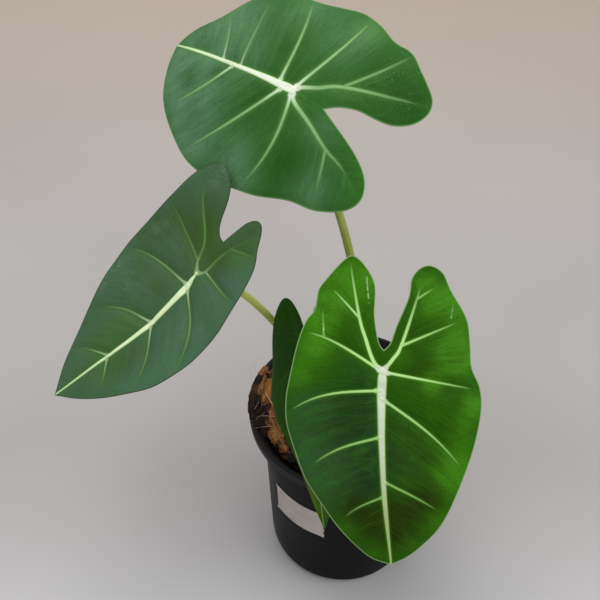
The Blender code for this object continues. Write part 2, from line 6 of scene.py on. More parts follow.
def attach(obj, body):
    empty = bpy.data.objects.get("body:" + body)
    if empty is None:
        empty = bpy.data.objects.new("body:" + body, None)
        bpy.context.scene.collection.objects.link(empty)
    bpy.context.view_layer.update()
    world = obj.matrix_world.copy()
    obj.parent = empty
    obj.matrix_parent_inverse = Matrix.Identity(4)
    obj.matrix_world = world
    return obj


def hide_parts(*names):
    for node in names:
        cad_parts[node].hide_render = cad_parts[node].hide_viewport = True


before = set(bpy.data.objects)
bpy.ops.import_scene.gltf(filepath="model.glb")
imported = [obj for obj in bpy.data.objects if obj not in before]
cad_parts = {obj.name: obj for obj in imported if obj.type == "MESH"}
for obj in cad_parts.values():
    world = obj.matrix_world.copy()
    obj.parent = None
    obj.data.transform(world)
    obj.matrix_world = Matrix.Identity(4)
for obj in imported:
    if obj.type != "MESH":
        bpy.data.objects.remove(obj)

MM = 0.001
TAU = 2 * np.pi
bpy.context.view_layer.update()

# Camera
CAMERA_PLACE = (-0.01575, -0.2646, 0.4494)
CAMERA_TURN = (45.7, 0.0, 2.1)
CAMERA_LENS = 48.0
CAMERA_SENSOR = 36.0

# Stage, in millimetres
STAGE_SIDE = 3000.0
STAGE_BACK = 5000.0
STAGE_LEVEL = -0.2

# Pot
POT_HEIGHT = 115.0
RIM_RADIUS = 52.5
RIM_BAND = 7.0
LIP_WIDTH = 2.2
LIP_ROUND = 0.8
RIM_DRAFT = 0.4
BODY_TOP_RADIUS = 45.2
BASE_RADIUS = 42.2
HEEL_RADIUS = 4.6
WALL = 1.5
FLOOR = 2.0
FLARE_LOW = 105.5
POT_SIDES = 144
DRAIN_COUNT = 6
DRAIN_RADIUS = 4.0
DRAIN_CIRCLE = 27.0
SECTOR_LINE_POINTS = 8

# Label
LABEL_ENDS = (-146.0, -104.0)
LABEL_HEIGHTS = (53.0, 76.5)
LABEL_LIFT = 0.06
LABEL_THICK = 0.3
LABEL_SIZE = (33.0, 23.5)
LABEL_PATTERN = (0.34, 0.235)
LABEL_GRID = (90, 40)
LABEL_SEED = 3
LABEL_CURL = 0.7
TEAR_KNOTS = 14
EDGE_KNOTS = 18
EDGE_WAVE = 0.12

# Mix and crown
MIX_LEVEL = 107.5
MIX_SIDES = 132
CROWN_RADIUS = 10.5
CROWN_FOOT = 84.0
CROWN_TOP = 113.0
CROWN_DOME = 4.0
CROWN_SIDES = 72
FIT_GAP = 0.3
MIX_GAP = 0.5
MIX_RINGS = 44
HEAP_TURN = 172.0
HEAP_SPREAD = 0.42
HEAP_HEIGHT = 2.4

# Chips and fibres. A RING is the least and the greatest distance from the pot's axis.
WALL_REACH = 44.3
RIM_REACH = 51.3
OPEN_REACH = 60.0
CHIP_COUNT = 560
CHIP_RING = (13.0, 43.0)
CRUMB_COUNT = 260
CRUMB_RING = (43.5, 48.3)
CRUMB_TURN = 171.0
CRUMB_LEVEL = 108.6
CRUMB_SLOPE = 0.62
FIBRE_COUNT = 520
FIBRE_RING = (13.0, 41.0)
FIBRE_RINGS = 12
FIBRE_SIDES = 5
CHIP_SEED = 11
FIBRE_SEED = 5

# Dry sheaths: middle and spread in degrees, lowest point, highest point and lift in millimetres
SHEATHS = [(-95, 62, 104.0, 118.5, 0.35), (20, 55, 104.5, 116.0, 0.55), (84, 38, 104.0, 119.5, 0.45),
           (-160, 44, 105.0, 114.5, 0.8)]
SHEATH_SEED = 23
SHEATH_THICK = 0.32
SHEATH_REACH = 7.4

# Blades
BLADE_THICK = 0.72
EDGE_THICK = 0.34
CAD_BLADE_THICK = 0.8
MIDRIB_DEPTH = 1.5
VEIN_DEPTH = 0.5
QUILT_HEIGHT = 0.9
MARGIN_WAVE = 1.0
MARGIN_WAVES = 2.5
QUILT_SPAN = 20.0
PATH_STEPS = 16
ROW_STEP = 0.75
SNAP = 2.5
LEFT_WAVE_TURN = 2.0
RIB_THINNING = 0.75
SWELL_POWER = 0.7
INNER_SWELL = 0.5
FLARE_REACH = 1.5
JUNCTION_FLARE = 1.4
FLARE_SPREAD = 60.0
FAR = 50.0
EDGE_FADE = 3.0
RIB_RELIEF = 0.42
RIB_VALLEY = 0.36
VEIN_RELIEF = 0.20
VEIN_VALLEY = 0.38
VALLEY_WIDTH = 2.2
RIB_KEEL_HALF = 2.6
VEIN_KEEL_HALF = 1.4
VEIN_POINTS = 26
VEIN_TAPER = 0.4
VEIN_FADE = 0.78
VEIN_END = 0.93
PATTERN_UNIT = 100.0
TONES = ("pale", "deep", "painted_sheen", "dust", "painted_shade")

# Stalks
FOOT_CIRCLE = 5.6
FOOT_LEVEL = 107.0
FOOT_RADIUS = 2.9
STALK_TOP_RADIUS = 1.75
STALK_LOW_RADIUS = 2.2
SHEATH_SHARE = 0.25
STALK_GAP = 0.42
STALK_INTO_RIB = 1.7
STALK_RINGS = 110
STALK_SIDES = 28
SOCKET_RINGS = 6
NECK_SWELL = 0.22
WING_TURN = 0.62
WING_WIDTH = 0.28
WING_RISE = 0.10
GROOVE_WIDTH = 0.34
GROOVE_DEPTH = 0.9
FLUTE_DEPTH = 0.012

# The leaves, in millimetres. Outlines and veins are (along the midrib, across) from the junction.
# A vein is (start on its rib, end at the margin, swing back, share of its way that shows, half width,
# force). The lists pale, deep, cool, dust and dim are soft spots of a tone: (along, across, radius,
# strength). The cool spots are painted sheen, a greyer, bluer green where the velvet face would catch the
# sky, and the dim spots painted shade, darker on the shaded sides of the quilting.
LEAVES = {
    "front_leaf": {
        "junction": (10.8, -44.8, 193.9),
        "heading": (0.07, -0.72, -0.69),
        "facing": (0.1, -0.68, 0.72),
        "size": 1.0,
        "droop": 3.5,
        "fold": 1.5,
        "midrib": [(0, 0), (12, -1), (30, -1.5), (55, -0.8), (85, 2)],
        "midrib_half": [
            (0, 1.3), (2.5, 1.9), (9, 1.9), (17, 1.65), (26, 1.42), (34, 1.25), (44, 1.12), (58, 0.9),
            (72, 0.55), (85, 0.32),
        ],
        "costa_half": 0.72,
        "costa_force": 1.0,
        "right": [
            (-9, 1), (-12, 4), (-19, 7), (-31, 13), (-39, 15), (-43.5, 19), (-44.5, 24), (-41, 29),
            (-33, 32), (-21, 38), (-10, 39), (0, 39), (9, 42), (19, 42), (37, 38), (53, 32), (68, 24),
            (77.5, 14.8), (82.3, 8.4), (85, 2),
        ],
        "right_costa": [(0, 0), (-5.5, 5), (-10.5, 8.5), (-30, 16.5), (-44.5, 22)],
        "right_costa_shows": 0.8,
        "right_veins": [
            ((-30, 16.5), (-38, 31), 0, 0.55, 0.38, 0.55), ((-10.5, 8.5), (-21, 38), 0, 0.82, 0.5, 0.84),
            ((0, 0), (10, 41.5), 0, 0.9, 0.52, 0.98), ((11.5, -1), (46, 35), 3.6, 0.92, 0.52, 0.88),
            ((46, -1), (64, 26), 1.2, 0.82, 0.42, 0.62),
        ],
        "left": [
            (-9, 1), (-13, -1), (-24, -2), (-37, -1), (-46, -5), (-50, -9.5), (-48, -14), (-41, -21),
            (-36, -25), (-28, -27), (-23, -31), (-14, -35), (0, -39), (10, -41), (20, -41), (32, -38),
            (44, -34), (56, -27), (67, -20), (77, -11.5), (82, -5.4), (85, 2),
        ],
        "left_costa": [(0, 0), (-5, -3.8), (-14.5, -6.5), (-23, -8.5), (-42, -10.5), (-50, -10.5)],
        "left_costa_shows": 0.93,
        "left_veins": [
            ((-23, -8.5), (-39.5, -22.5), 0.5, 0.76, 0.42, 0.86),
            ((0, 0), (-18.5, -33), 2.6, 0.92, 0.56, 1.0), ((7.5, -1), (16, -41), 4.2, 0.92, 0.5, 0.95),
            ((27, -1.5), (42, -34.5), 3.8, 0.82, 0.5, 0.72),
            ((53, -1), (65, -21.5), 2.4, 0.78, 0.42, 0.5),
        ],
        "twigs": [((-16.3, -23.9), (-28.3, -23.8), 0.0, 0.95, 0.3, 0.8)],
        "scars": [
            [(-44.1, -4.2), (-38.8, -4.4), (-33.5, -4.4), (-29.2, -4.2)],
            [(-27.1, 32.1), (-24.4, 31.5), (-20.9, 30.8)],
        ],
        "pale": [
            (-6, 31, 8, 0.9), (-20, 34, 8, 0.5), (6, 21, 5, 0.9), (16, 39, 6, 0.8), (-30, 29, 8, 0.8),
            (-38, -8, 10, 0.85), (-27, -24, 8, 1.0), (-13, -27, 8, 0.7), (45, 30, 10, 1.0),
            (66, 21, 7, 0.45), (0, -36, 8, 0.5), (-5, 8, 5, 0.3), (-38, -15, 8, 0.6), (-36, 20, 6, 0.6),
            (-25, 21, 5, 0.4), (26, 33, 8, 0.4), (76, 11, 6, 0.4), (78, -5, 6, 0.3), (66, -17, 6, 0.35),
            (-4, 33, 8, 0.5),
        ],
        "deep": [
            (56, -14, 9, 0.9), (60, 3, 10, 0.8), (70, 4, 10, 0.8), (56, 17, 8, 0.9), (24, 14, 8, 0.3),
            (38, 10, 8, 0.3), (-15, 12, 8, 0.3), (66, -7, 7, 0.5), (-2, 14, 8, 0.3), (8, 30, 6, 0.3),
        ],
        "painted_sheen": [
            (43, -24, 14, 1.0), (28, -31, 12, 1.0), (14, -32, 9, 0.6), (46, -12, 9, 0.8),
            (18, -22, 13, 0.6), (30, -8, 10, 0.5), (40, 8, 9, 0.4),
        ],
        "dust": [],
        "painted_shade": [
            (5, -8, 8, 0.7), (16, -9, 8, 0.75), (28, -8, 8, 0.7), (37, -9, 8, 0.9), (47, -6, 7, 0.9),
            (24, -20, 8, 0.6), (13, -19, 7, 0.5), (-5, -14, 6, 0.4), (35, 2, 6, 0.5), (22, 5, 7, 0.3),
        ],
        "wave_turn": 0.4,
        "late_swing": 0.5,
        "finish": 'leaf_green',
        "stalk_painted_light": 0.3,
        "foot_angle": -52,
        "foot_pull": (0, 0, 30),
        "head_pull": (-3, 18, -19),
    },
    "top_leaf": {
        "junction": (-30.5, 43.3, 274.7),
        "heading": (-0.83, 0.56, 0.04),
        "facing": (-0.29, -0.49, 0.82),
        "size": 1.105,
        "droop": 5.4,
        "fold": 3.6,
        "midrib": [(0, 0), (14, -0.6), (39, -1.7), (75, -4)],
        "midrib_half": [(0, 1.6), (3, 1.7), (8, 1.42), (20, 1.0), (36, 0.78), (54, 0.62), (75, 0.3)],
        "costa_half": 0.58,
        "costa_force": 0.8,
        "right": [
            (-16, 2), (-24, 6), (-30, 9), (-37, 13), (-43, 18), (-46, 24), (-45, 29.5), (-40, 34),
            (-31, 37.5), (-20, 38.5), (-6, 42.5), (6, 44), (16, 45), (26, 43.5), (38, 40), (52, 31),
            (64, 20), (72, 7), (75, -4),
        ],
        "right_costa": [(0, 0), (-3.5, 4.2), (-13, 9), (-24.5, 15.5), (-33, 18.7), (-46, 25.5)],
        "right_costa_shows": 0.78,
        "right_veins": [
            ((-24.5, 15.5), (-30, 37.5), 0.7, 0.66, 0.4, 0.5), ((0, 0), (3, 43.5), 5.4, 0.88, 0.46, 0.8),
            ((4, 0), (40, 39), 4.2, 0.88, 0.46, 0.85), ((31, -1.5), (59, 24.5), 3.8, 0.78, 0.42, 0.74),
        ],
        "left": [
            (-16, 2), (-21, -1), (-28, -3), (-36, -3), (-43, -4), (-49, -8), (-52, -14), (-51, -20),
            (-45.5, -25.5), (-40.5, -29.5), (-36, -33.2), (-32, -34.8), (-28, -35), (-24, -36),
            (-17, -39.5), (-7, -42.3), (2, -42), (14, -41), (26, -41), (35, -39), (47, -34), (58, -22),
            (69, -13), (75, -4),
        ],
        "left_costa": [(0, 0), (-2, -1.8), (-9.5, -4.7), (-18, -9), (-39, -14), (-51.5, -17.5)],
        "left_costa_shows": 0.88,
        "left_veins": [
            ((-18, -9), (-34.5, -33), 1.3, 0.94, 0.4, 0.55),
            ((0, 0), (-12, -41.5), 1.7, 0.94, 0.46, 0.96), ((7, -0.5), (19, -41), 2.9, 0.92, 0.46, 0.76),
            ((28, -1.5), (38, -38), 0.8, 0.86, 0.32, 0.36), ((39, -2), (56, -25.5), 2.6, 0.84, 0.34, 0.5),
        ],
        "twigs": [],
        "scars": [],
        "pale": [
            (54, -27, 8, 0.9), (64, 16, 8, 0.6), (-14, -34, 9, 0.6), (18, -34, 9, 0.5),
            (-20, -8, 8, 0.35), (-4, 3, 6, 0.4),
        ],
        "deep": [
            (-44, -14, 12, 1.0), (-30, -20, 12, 0.6), (-12, 27, 9, 0.7), (8, 12, 9, 0.5),
            (12, -14, 10, 0.5), (-16, 18, 9, 0.3), (38, 4, 5, 0.5), (51, 10, 6, 0.6), (51, -7, 5, 0.4),
        ],
        "painted_sheen": [
            (44, 14, 18, 1.0), (60, 2, 16, 0.9), (36, 33, 14, 0.9), (44, -20, 14, 0.85),
            (10, 34, 12, 0.6), (6, 41, 9, 0.6), (-26, 31, 9, 0.6), (-10, -28, 11, 0.5),
            (14, -36, 12, 0.5), (28, -8, 10, 0.6), (-20, 12, 7, 0.5),
        ],
        "dust": [(-34, -26, 10, 0.6), (-44, -12, 7, 0.6), (-24, -14, 12, 0.3)],
        "painted_shade": [(-30, 4, 10, 0.5), (14, 6, 6, 0.5), (30, -4, 6, 0.4)],
        "wave_turn": 1.6,
        "late_swing": 0.2,
        "finish": 'leaf_green',
        "stalk_painted_light": 0.0,
        "foot_angle": 40,
        "foot_pull": (8.4, -0.5, 95),
        "head_pull": (3.5, 18.6, -29.1),
    },
    "left_leaf": {
        "junction": (-69.6, -12.8, 218.1),
        "heading": (-0.69, -0.41, -0.6),
        "facing": (-0.42, -0.45, 0.79),
        "size": 0.98,
        "droop": -3.2,
        "fold": -4.3,
        "midrib": [(0, 0), (7, 1.3), (17.5, 2), (30, 2.4), (43, 1.6), (58, 0), (83, -1)],
        "midrib_half": [
            (0, 0.5), (2.5, 0.75), (5, 1.4), (8, 1.7), (18, 1.35), (30, 1.2), (45, 0.9), (60, 0.6),
            (83, 0.3),
        ],
        "costa_half": 0.56,
        "costa_force": 0.72,
        "right": [
            (-18, -1), (-24, 0), (-32, 2), (-36, 6), (-34, 11), (-28, 15.5), (-22, 21), (-14, 25),
            (-4, 29), (8, 33), (22, 33.5), (34, 32), (45, 29.5), (56, 23), (67, 15), (76, 7), (83, -1),
        ],
        "right_costa": [(0, 0), (-3.5, 3), (-12, 3.4), (-19, 5), (-28, 8), (-35.5, 8.5)],
        "right_costa_shows": 0.62,
        "right_veins": [
            ((-19, 5), (-25, 18.5), 0, 0.94, 0.36, 0.65), ((-3.5, 3), (-6, 28.5), -1, 0.92, 0.36, 1.0),
            ((7, 1.3), (34, 32), 6, 0.94, 0.32, 1.4), ((30, 2.4), (53.5, 24.5), 3.3, 0.8, 0.32, 1.3),
            ((55, 0.3), (68, 14), 1.5, 0.75, 0.35, 0.8),
        ],
        "left": [
            (-18, -1), (-19, -5), (-23, -9), (-33, -14), (-39, -19), (-42, -25), (-41, -29), (-35, -33),
            (-27, -35), (-17, -35.5), (-4, -36), (13, -36), (26, -33), (39, -29), (55, -22), (71, -12),
            (83, -1),
        ],
        "left_costa": [(0, 0), (-4, -4), (-10, -6.8), (-15, -11.7), (-21, -19.5), (-28, -26), (-41, -29)],
        "left_costa_shows": 0.8,
        "left_veins": [
            ((-4, -4), (-13, -35.7), 0, 0.9, 0.34, 0.65), ((6.7, 1), (18.5, -35), 3, 0.9, 0.38, 1.25),
            ((29, 2.4), (50, -24), 5, 0.78, 0.36, 1.15), ((54, 0.5), (66, -15), 1.5, 0.75, 0.35, 0.8),
        ],
        "twigs": [],
        "scars": [],
        "pale": [
            (-12, -6, 8, 0.8), (40, -6, 9, 0.8), (54, -4, 10, 0.7), (54, 12, 9, 0.7), (-3, 4, 7, 0.5),
            (-22, 12, 9, 0.8),
        ],
        "deep": [
            (-16, -14, 9, 0.8), (-8, -26, 10, 0.6), (4, -33, 9, 0.5), (-12, 3, 7, 0.5), (-30, 3, 7, 0.3),
            (16, -22, 7, 0.4), (40, 9, 6, 0.5), (50, 12, 7, 0.5),
        ],
        "painted_sheen": [
            (22, 24, 16, 1.0), (-9, 20, 12, 0.9), (38, 22, 13, 0.9), (30, -22, 14, 0.8),
            (4, -18, 11, 0.6), (-33, -27, 8, 0.7), (50, 20, 10, 0.8), (12, 12, 10, 0.6),
        ],
        "dust": [
            (30, -28, 11, 1.0), (-2, -33, 9, 0.7), (-37, -26, 8, 0.8), (-1, 3.5, 3.0, 1.0),
            (20, 26, 16, 0.35), (4, -16, 14, 0.35),
        ],
        "painted_shade": [
            (-12, -10, 8, 0.9), (-12, 4, 6, 0.8), (6, -7, 5, 0.5), (-24, -14, 7, 0.6), (-34, 6, 6, 0.5),
            (16, -7, 5, 0.5),
        ],
        "wave_turn": 2.9,
        "late_swing": 0.7,
        "finish": 'leaf_deep_green',
        "stalk_painted_light": 1.0,
        "foot_angle": 125,
        "foot_pull": (-22.9, 14.5, 14),
        "head_pull": (21.2, 42.9, -45.1),
    },
    "side_leaf": {
        "junction": (-21.7, -11.3, 167.8),
        "heading": (0.1, -0.84, -0.53),
        "facing": (-0.76, -0.41, 0.51),
        "size": 1.0,
        "droop": 1.0,
        "fold": 2.0,
        "midrib": [(0, 0), (27, 0), (54, -0.5), (81, -1)],
        "midrib_half": [(0, 1.3), (27, 1.0), (54, 0.7), (81, 0.3)],
        "costa_half": 0.6,
        "costa_force": 0.25,
        "right": [
            (-8, 0), (-11, 3), (-17, 5), (-22, 9), (-24, 14), (-21, 19), (-15, 23), (-7, 26), (3, 28),
            (14, 28.5), (27, 27), (40, 23), (53, 17), (66, 10), (75, 4), (81, -1),
        ],
        "right_costa": [(0, 0), (-3, 2), (-12, 8), (-24, 13)],
        "right_costa_shows": 0.75,
        "right_veins": [
            ((-5, 4), (-7, 26), 1, 0.8, 0.4, 0.8), ((4, 0), (16, 28), 3, 0.8, 0.4, 0.8),
            ((24, 0), (42, 22), 2.5, 0.78, 0.38, 0.8), ((45, 0), (60, 13), 1.5, 0.75, 0.32, 0.8),
        ],
        "left": [
            (-8, 0), (-13, -2), (-20, -5), (-27, -10), (-30, -15), (-28.5, -20), (-22, -25), (-12, -28),
            (0, -30.5), (12, -33), (20, -31.5), (30, -27), (40, -22), (50, -16), (61, -10), (72, -5),
            (81, -1),
        ],
        "left_costa": [(0, 0), (-3, -2), (-14, -9), (-30, -16)],
        "left_costa_shows": 0.75,
        "left_veins": [
            ((-5, -3), (-12, -28), 1, 0.62, 0.36, 0.1), ((4, 0), (16, -32), 3, 0.62, 0.36, 0.45),
            ((24, 0), (42, -21), 2.5, 0.62, 0.34, 0.6), ((45, 0), (60, -10.5), 1.5, 0.62, 0.3, 0.6),
        ],
        "twigs": [],
        "scars": [],
        "pale": [(66, -4, 14, 0.8), (50, -12, 9, 0.5)],
        "deep": [(0, 0, 30, 0.7), (0, -24, 14, 0.5)],
        "painted_sheen": [],
        "dust": [],
        "painted_shade": [],
        "wave_turn": 4.0,
        "late_swing": 0.3,
        "finish": 'leaf_deep_green',
        "stalk_painted_light": 0.3,
        "foot_angle": 232,
        "foot_pull": (0, 0, 20),
        "head_pull": (15, 8, -10),
    },
}


# Meshes

def grid_triangles(rows, columns, closed=False):
    """Two triangles for each cell of a grid of points numbered row by row. closed joins the last column to
    the first."""
    cells = columns if closed else columns - 1
    i, j = np.meshgrid(np.arange(rows - 1), np.arange(cells), indexing="ij")
    after = (j + 1) % columns
    a, b = (i * columns + j).ravel(), (i * columns + after).ravel()
    c, d = b + columns, a + columns
    return np.concatenate([np.stack([a, b, c], -1), np.stack([a, c, d], -1)])


def weld(keys, triangles):
    """Join points whose keys agree. Returns which point stands for each, and the triangles that stay open."""
    _, first, number = np.unique(np.round(keys, 4), axis=0, return_index=True, return_inverse=True)
    triangles = number.reshape(-1)[triangles]
    a, b, c = triangles.T
    return first, triangles[(a != b) & (b != c) & (c != a)]


def outwards(points, triangles):
    """Turn a closed mesh's triangles over if the volume they enclose comes out negative."""
    a, b, c = (points[triangles[:, i]] for i in range(3))
    volume = np.einsum("ij,ij->i", a, np.cross(b, c)).sum()
    return triangles if volume > 0 else triangles[:, ::-1]


def closed_skin(points, triangles):
    """Weld a surface that closes on itself and turn its triangles outwards."""
    first, triangles = weld(points, triangles)
    points = points[first]
    return points, outwards(points, triangles)


def closed_sheet(triangles, count):
    """Triangles of a sheet with two faces: the upper ones, the lower ones turned over on points that come
    count later, and a wall along the open edges."""
    sides = np.vstack([triangles[:, [0, 1]], triangles[:, [1, 2]], triangles[:, [2, 0]]]).astype(np.int64)
    here, back = sides[:, 0] * count + sides[:, 1], sides[:, 1] * count + sides[:, 0]
    a, b = sides[~np.isin(here, back)].T
    wall = np.concatenate([np.stack([b, a, a + count], -1), np.stack([b, a + count, b + count], -1)])
    return np.concatenate([triangles, triangles[:, ::-1] + count, wall])


def about_axis(r, turn, z):
    """Points at a distance from Z, a turn round it and a height."""
    return np.stack([r * np.cos(turn), r * np.sin(turn), z], -1)


def add_object(name, data):
    thing = bpy.data.objects.new(name, data)
    bpy.context.scene.collection.objects.link(thing)
    return thing


def make_mesh(name, points, triangles, finishes, choice=None, uv=None, marks=None):
    """One object from points in millimetres and triangles. choice is a finish number per triangle, uv a
    pair per point, and marks named numbers or vectors per point that the finishes read."""
    mesh = bpy.data.meshes.new(name)
    mesh.vertices.add(len(points))
    mesh.vertices.foreach_set("co", (np.asarray(points) * MM).astype(np.float32).ravel())
    mesh.loops.add(3 * len(triangles))
    mesh.loops.foreach_set("vertex_index", triangles.astype(np.int32).ravel())
    mesh.polygons.add(len(triangles))
    mesh.polygons.foreach_set("loop_start", np.arange(0, 3 * len(triangles), 3, dtype=np.int32))
    for finish in finishes:
        mesh.materials.append(finish)
    if choice is not None:
        mesh.polygons.foreach_set("material_index", choice.astype(np.int32))
    mesh.update(calc_edges=True)
    mesh.shade_smooth()
    if uv is not None:
        layer = mesh.uv_layers.new(name="surface")
        layer.data.foreach_set("uv", uv[triangles.ravel()].astype(np.float32).ravel())
    for key, values in (marks or {}).items():
        kind, slot = ("FLOAT", "value") if values.ndim == 1 else ("FLOAT_VECTOR", "vector")
        layer = mesh.attributes.new(key, kind, "POINT")
        layer.data.foreach_set(slot, values.astype(np.float32).ravel())
    return add_object(name, mesh)


def hand_in(thing, slot, *nodes):
    """Every piece rides on the one body and, if it stands for CAD nodes, hides them. The slot is not used."""
    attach(thing, "root")
    if nodes:
        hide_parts(*nodes)
    return thing


def unit(vectors):
    return vectors / np.maximum(np.linalg.norm(vectors, axis=-1, keepdims=True), 1e-12)


def tubes(paths, radii, sides, across, ripple=None):
    """Tubes round many paths at once: centre + radius * (cos a * side + sin a * rise), where side is square
    to the path and to "across". Each end closes on one more point in the middle.

    paths is (tubes, rings, 3), radii (tubes, rings), across one direction per tube, and ripple a factor on
    the radius for each (tube, ring, side)."""
    count, rings = paths.shape[:2]
    tangent = unit(np.gradient(paths, axis=1))
    side = unit(np.cross(tangent, across[:, None, :]))
    rise = np.cross(side, tangent)
    angle = np.linspace(0, TAU, sides, endpoint=False)[None, None, :, None]
    reach = radii[:, :, None, None] * (1.0 if ripple is None else ripple[..., None])
    ring = paths[:, :, None] + reach * (np.cos(angle) * side[:, :, None] + np.sin(angle) * rise[:, :, None])
    points = np.concatenate([ring.reshape(count, -1, 3), paths[:, [0, -1]]], 1)
    number = np.arange(sides)
    after = (number + 1) % sides
    last = (rings - 1) * sides
    start, end = np.full(sides, rings * sides), np.full(sides, rings * sides + 1)
    one = np.concatenate([grid_triangles(rings, sides, True), np.stack([start, after, number], -1),
                          np.stack([end, last + number, last + after], -1)])
    triangles = (one[None] + points.shape[1] * np.arange(count)[:, None, None]).reshape(-1, 3)
    return points, outwards(points.reshape(-1, 3), triangles)


# Paths and distances

def smooth(points):
    """A Catmull-Rom path through given points."""
    p = np.array(points, float)
    ends = np.vstack([2 * p[0] - p[1], p, 2 * p[-1] - p[-2]])
    t = np.linspace(0.0, 1.0, PATH_STEPS, endpoint=False)[:, None]
    parts = []
    for a, b, c, d in zip(ends[:-3], ends[1:-2], ends[2:-1], ends[3:]):
        parts.append(b + 0.5 * ((c - a) * t + (2 * a - 5 * b + 4 * c - d) * t ** 2
                                + (3 * b - a - 3 * c + d) * t ** 3))
    return np.vstack([*parts, p[-1:]])


def run_of(path):
    """Distance along a path at each of its points."""
    return np.concatenate([[0.0], np.cumsum(np.linalg.norm(np.diff(path, axis=0), axis=1))])


def along(path, run, distances):
    """The points at some distances along a path."""
    return np.stack([np.interp(distances, run, path[:, i]) for i in range(2)], -1)


def nearest(path, point):
    """Number of the path's point that lies nearest a point."""
    return np.argmin(np.linalg.norm(path - np.array(point, float), axis=1))


def distance_to(points, path):
    """How far each point is from a path, and how far along the path, from 0 to 1, its nearest place is."""
    start, step = path[:-1], np.diff(path, axis=0)
    square = np.maximum((step ** 2).sum(-1), 1e-9)
    offset = points[:, None] - start[None]
    t = np.clip((offset * step).sum(-1) / square, 0.0, 1.0)
    gap = np.linalg.norm(offset - t[..., None] * step, axis=-1)
    best = gap.argmin(1)
    row = np.arange(len(points))
    run = run_of(path)
    return gap[row, best], (run[best] + t[row, best] * np.sqrt(square[best])) / run[-1]


def ease(value, low, high):
    """0 below low, 1 above high, and a smooth step between."""
    t = np.clip((value - low) / (high - low), 0.0, 1.0)
    return t * t * (3 - 2 * t)


def spots(points, places):
    """Soft round spots (along, across, radius, strength), each a bell curve, kept under 1 together."""
    total = np.zeros(len(points))
    for x, y, radius, strength in places:
        total += strength * np.exp(-((points[:, 0] - x) ** 2 + (points[:, 1] - y) ** 2) / radius ** 2)
    return np.clip(total, 0.0, 1.0)


# Blades

def make_half(leaf, side):
    """Lines of one half of a blade, as the source has them: the spine from the lobe's end through the
    junction to the tip, the margin beside it, the lobe's inner edge, and the veins' starts and ends."""
    outline = smooth(leaf[side])
    costa = smooth(leaf[side + "_costa"])
    lobe_end = nearest(outline, costa[-1])
    costa[-1] = outline[lobe_end]
    margin, lobe = outline[lobe_end:], outline[:lobe_end + 1][::-1]
    midrib = smooth(leaf["midrib"])
    spine_run = np.concatenate([-run_of(costa)[::-1], run_of(midrib)[1:]])
    spine = np.vstack([costa[::-1], midrib[1:]])
    margin_run = run_of(margin)
    starts, ends, swings = [spine_run[0]], [0.0], [0.0]
    for start, end, swing, _, _, _ in leaf[side + "_veins"]:
        distance = spine_run[nearest(spine, start)]
        starts.append(0.0 if abs(distance) < SNAP else distance)
        ends.append(margin_run[nearest(margin, end)])
        swings.append(swing)
    starts, ends = np.array(starts + [spine_run[-1]]), np.array(ends + [margin_run[-1]])
    mean = 0.5 * (np.diff(starts) + np.diff(ends))
    flow = np.concatenate([[0.0], np.cumsum(mean)])
    return {
        "spine": spine, "spine_run": spine_run, "margin": margin, "margin_run": margin_run,
        "lobe": lobe, "lobe_run": run_of(lobe), "outline": outline, "costa": costa,
        "starts": starts, "ends": ends, "swings": np.array(swings + [0.0]),
        "flow": flow - np.interp(0.0, starts, flow),
    }


def fine_rows(low, high, halves):
    """Rows between two places on the spine: a row at every vein, and between two veins as many as the rib
    or the longest margin beside it needs, drawn together towards the veins."""
    marks = sorted({low, high, *[s for half in halves for s in half["starts"] if low < s < high]})
    rows = [np.array([low])]
    for a, b in zip(marks[:-1], marks[1:]):
        reach = max([b - a] + [np.ptp(np.interp([a, b], half["starts"], half["ends"])) for half in halves])
        t = np.linspace(0.0, 1.0, max(2, int(np.ceil(reach / ROW_STEP))) + 1)[1:]
        rows.append(a + (b - a) * (t - 0.4 * np.sin(TAU * t) / TAU))
    return np.concatenate(rows)


OUTER_COLUMNS = np.concatenate([np.linspace(0, 0.07, 8)[:-1], np.linspace(0.07, 0.965, 40)[:-1],
                                np.linspace(0.965, 1, 5)])
INNER_COLUMNS = np.concatenate([np.linspace(0, 0.16, 6)[:-1], np.linspace(0.16, 0.94, 15)[:-1],
                                np.linspace(0.94, 1, 4)])


def rib_depth(points, leaf, half):
    """Depth of the main ribs under the blade: deepest at the junction, thin at the tip and the lobe's end."""
    tip, lobe_end = np.linalg.norm(leaf["midrib"][-1]), np.linalg.norm(half["spine"][0])
    limit = np.where(points[..., 0] > 0.0, tip, lobe_end)
    return MIDRIB_DEPTH * (1.0 - RIB_THINNING * np.clip(np.linalg.norm(points, axis=-1) / limit, 0.0, 1.0))


def swung(leaf, u):
    """Share of a vein's swing on its way out: u (1 - u) (4 (1 - late) + 6.75 late u)."""
    late = leaf["late_swing"]
    return u * (1 - u) * (4.0 * (1 - late) + 6.75 * late * u)


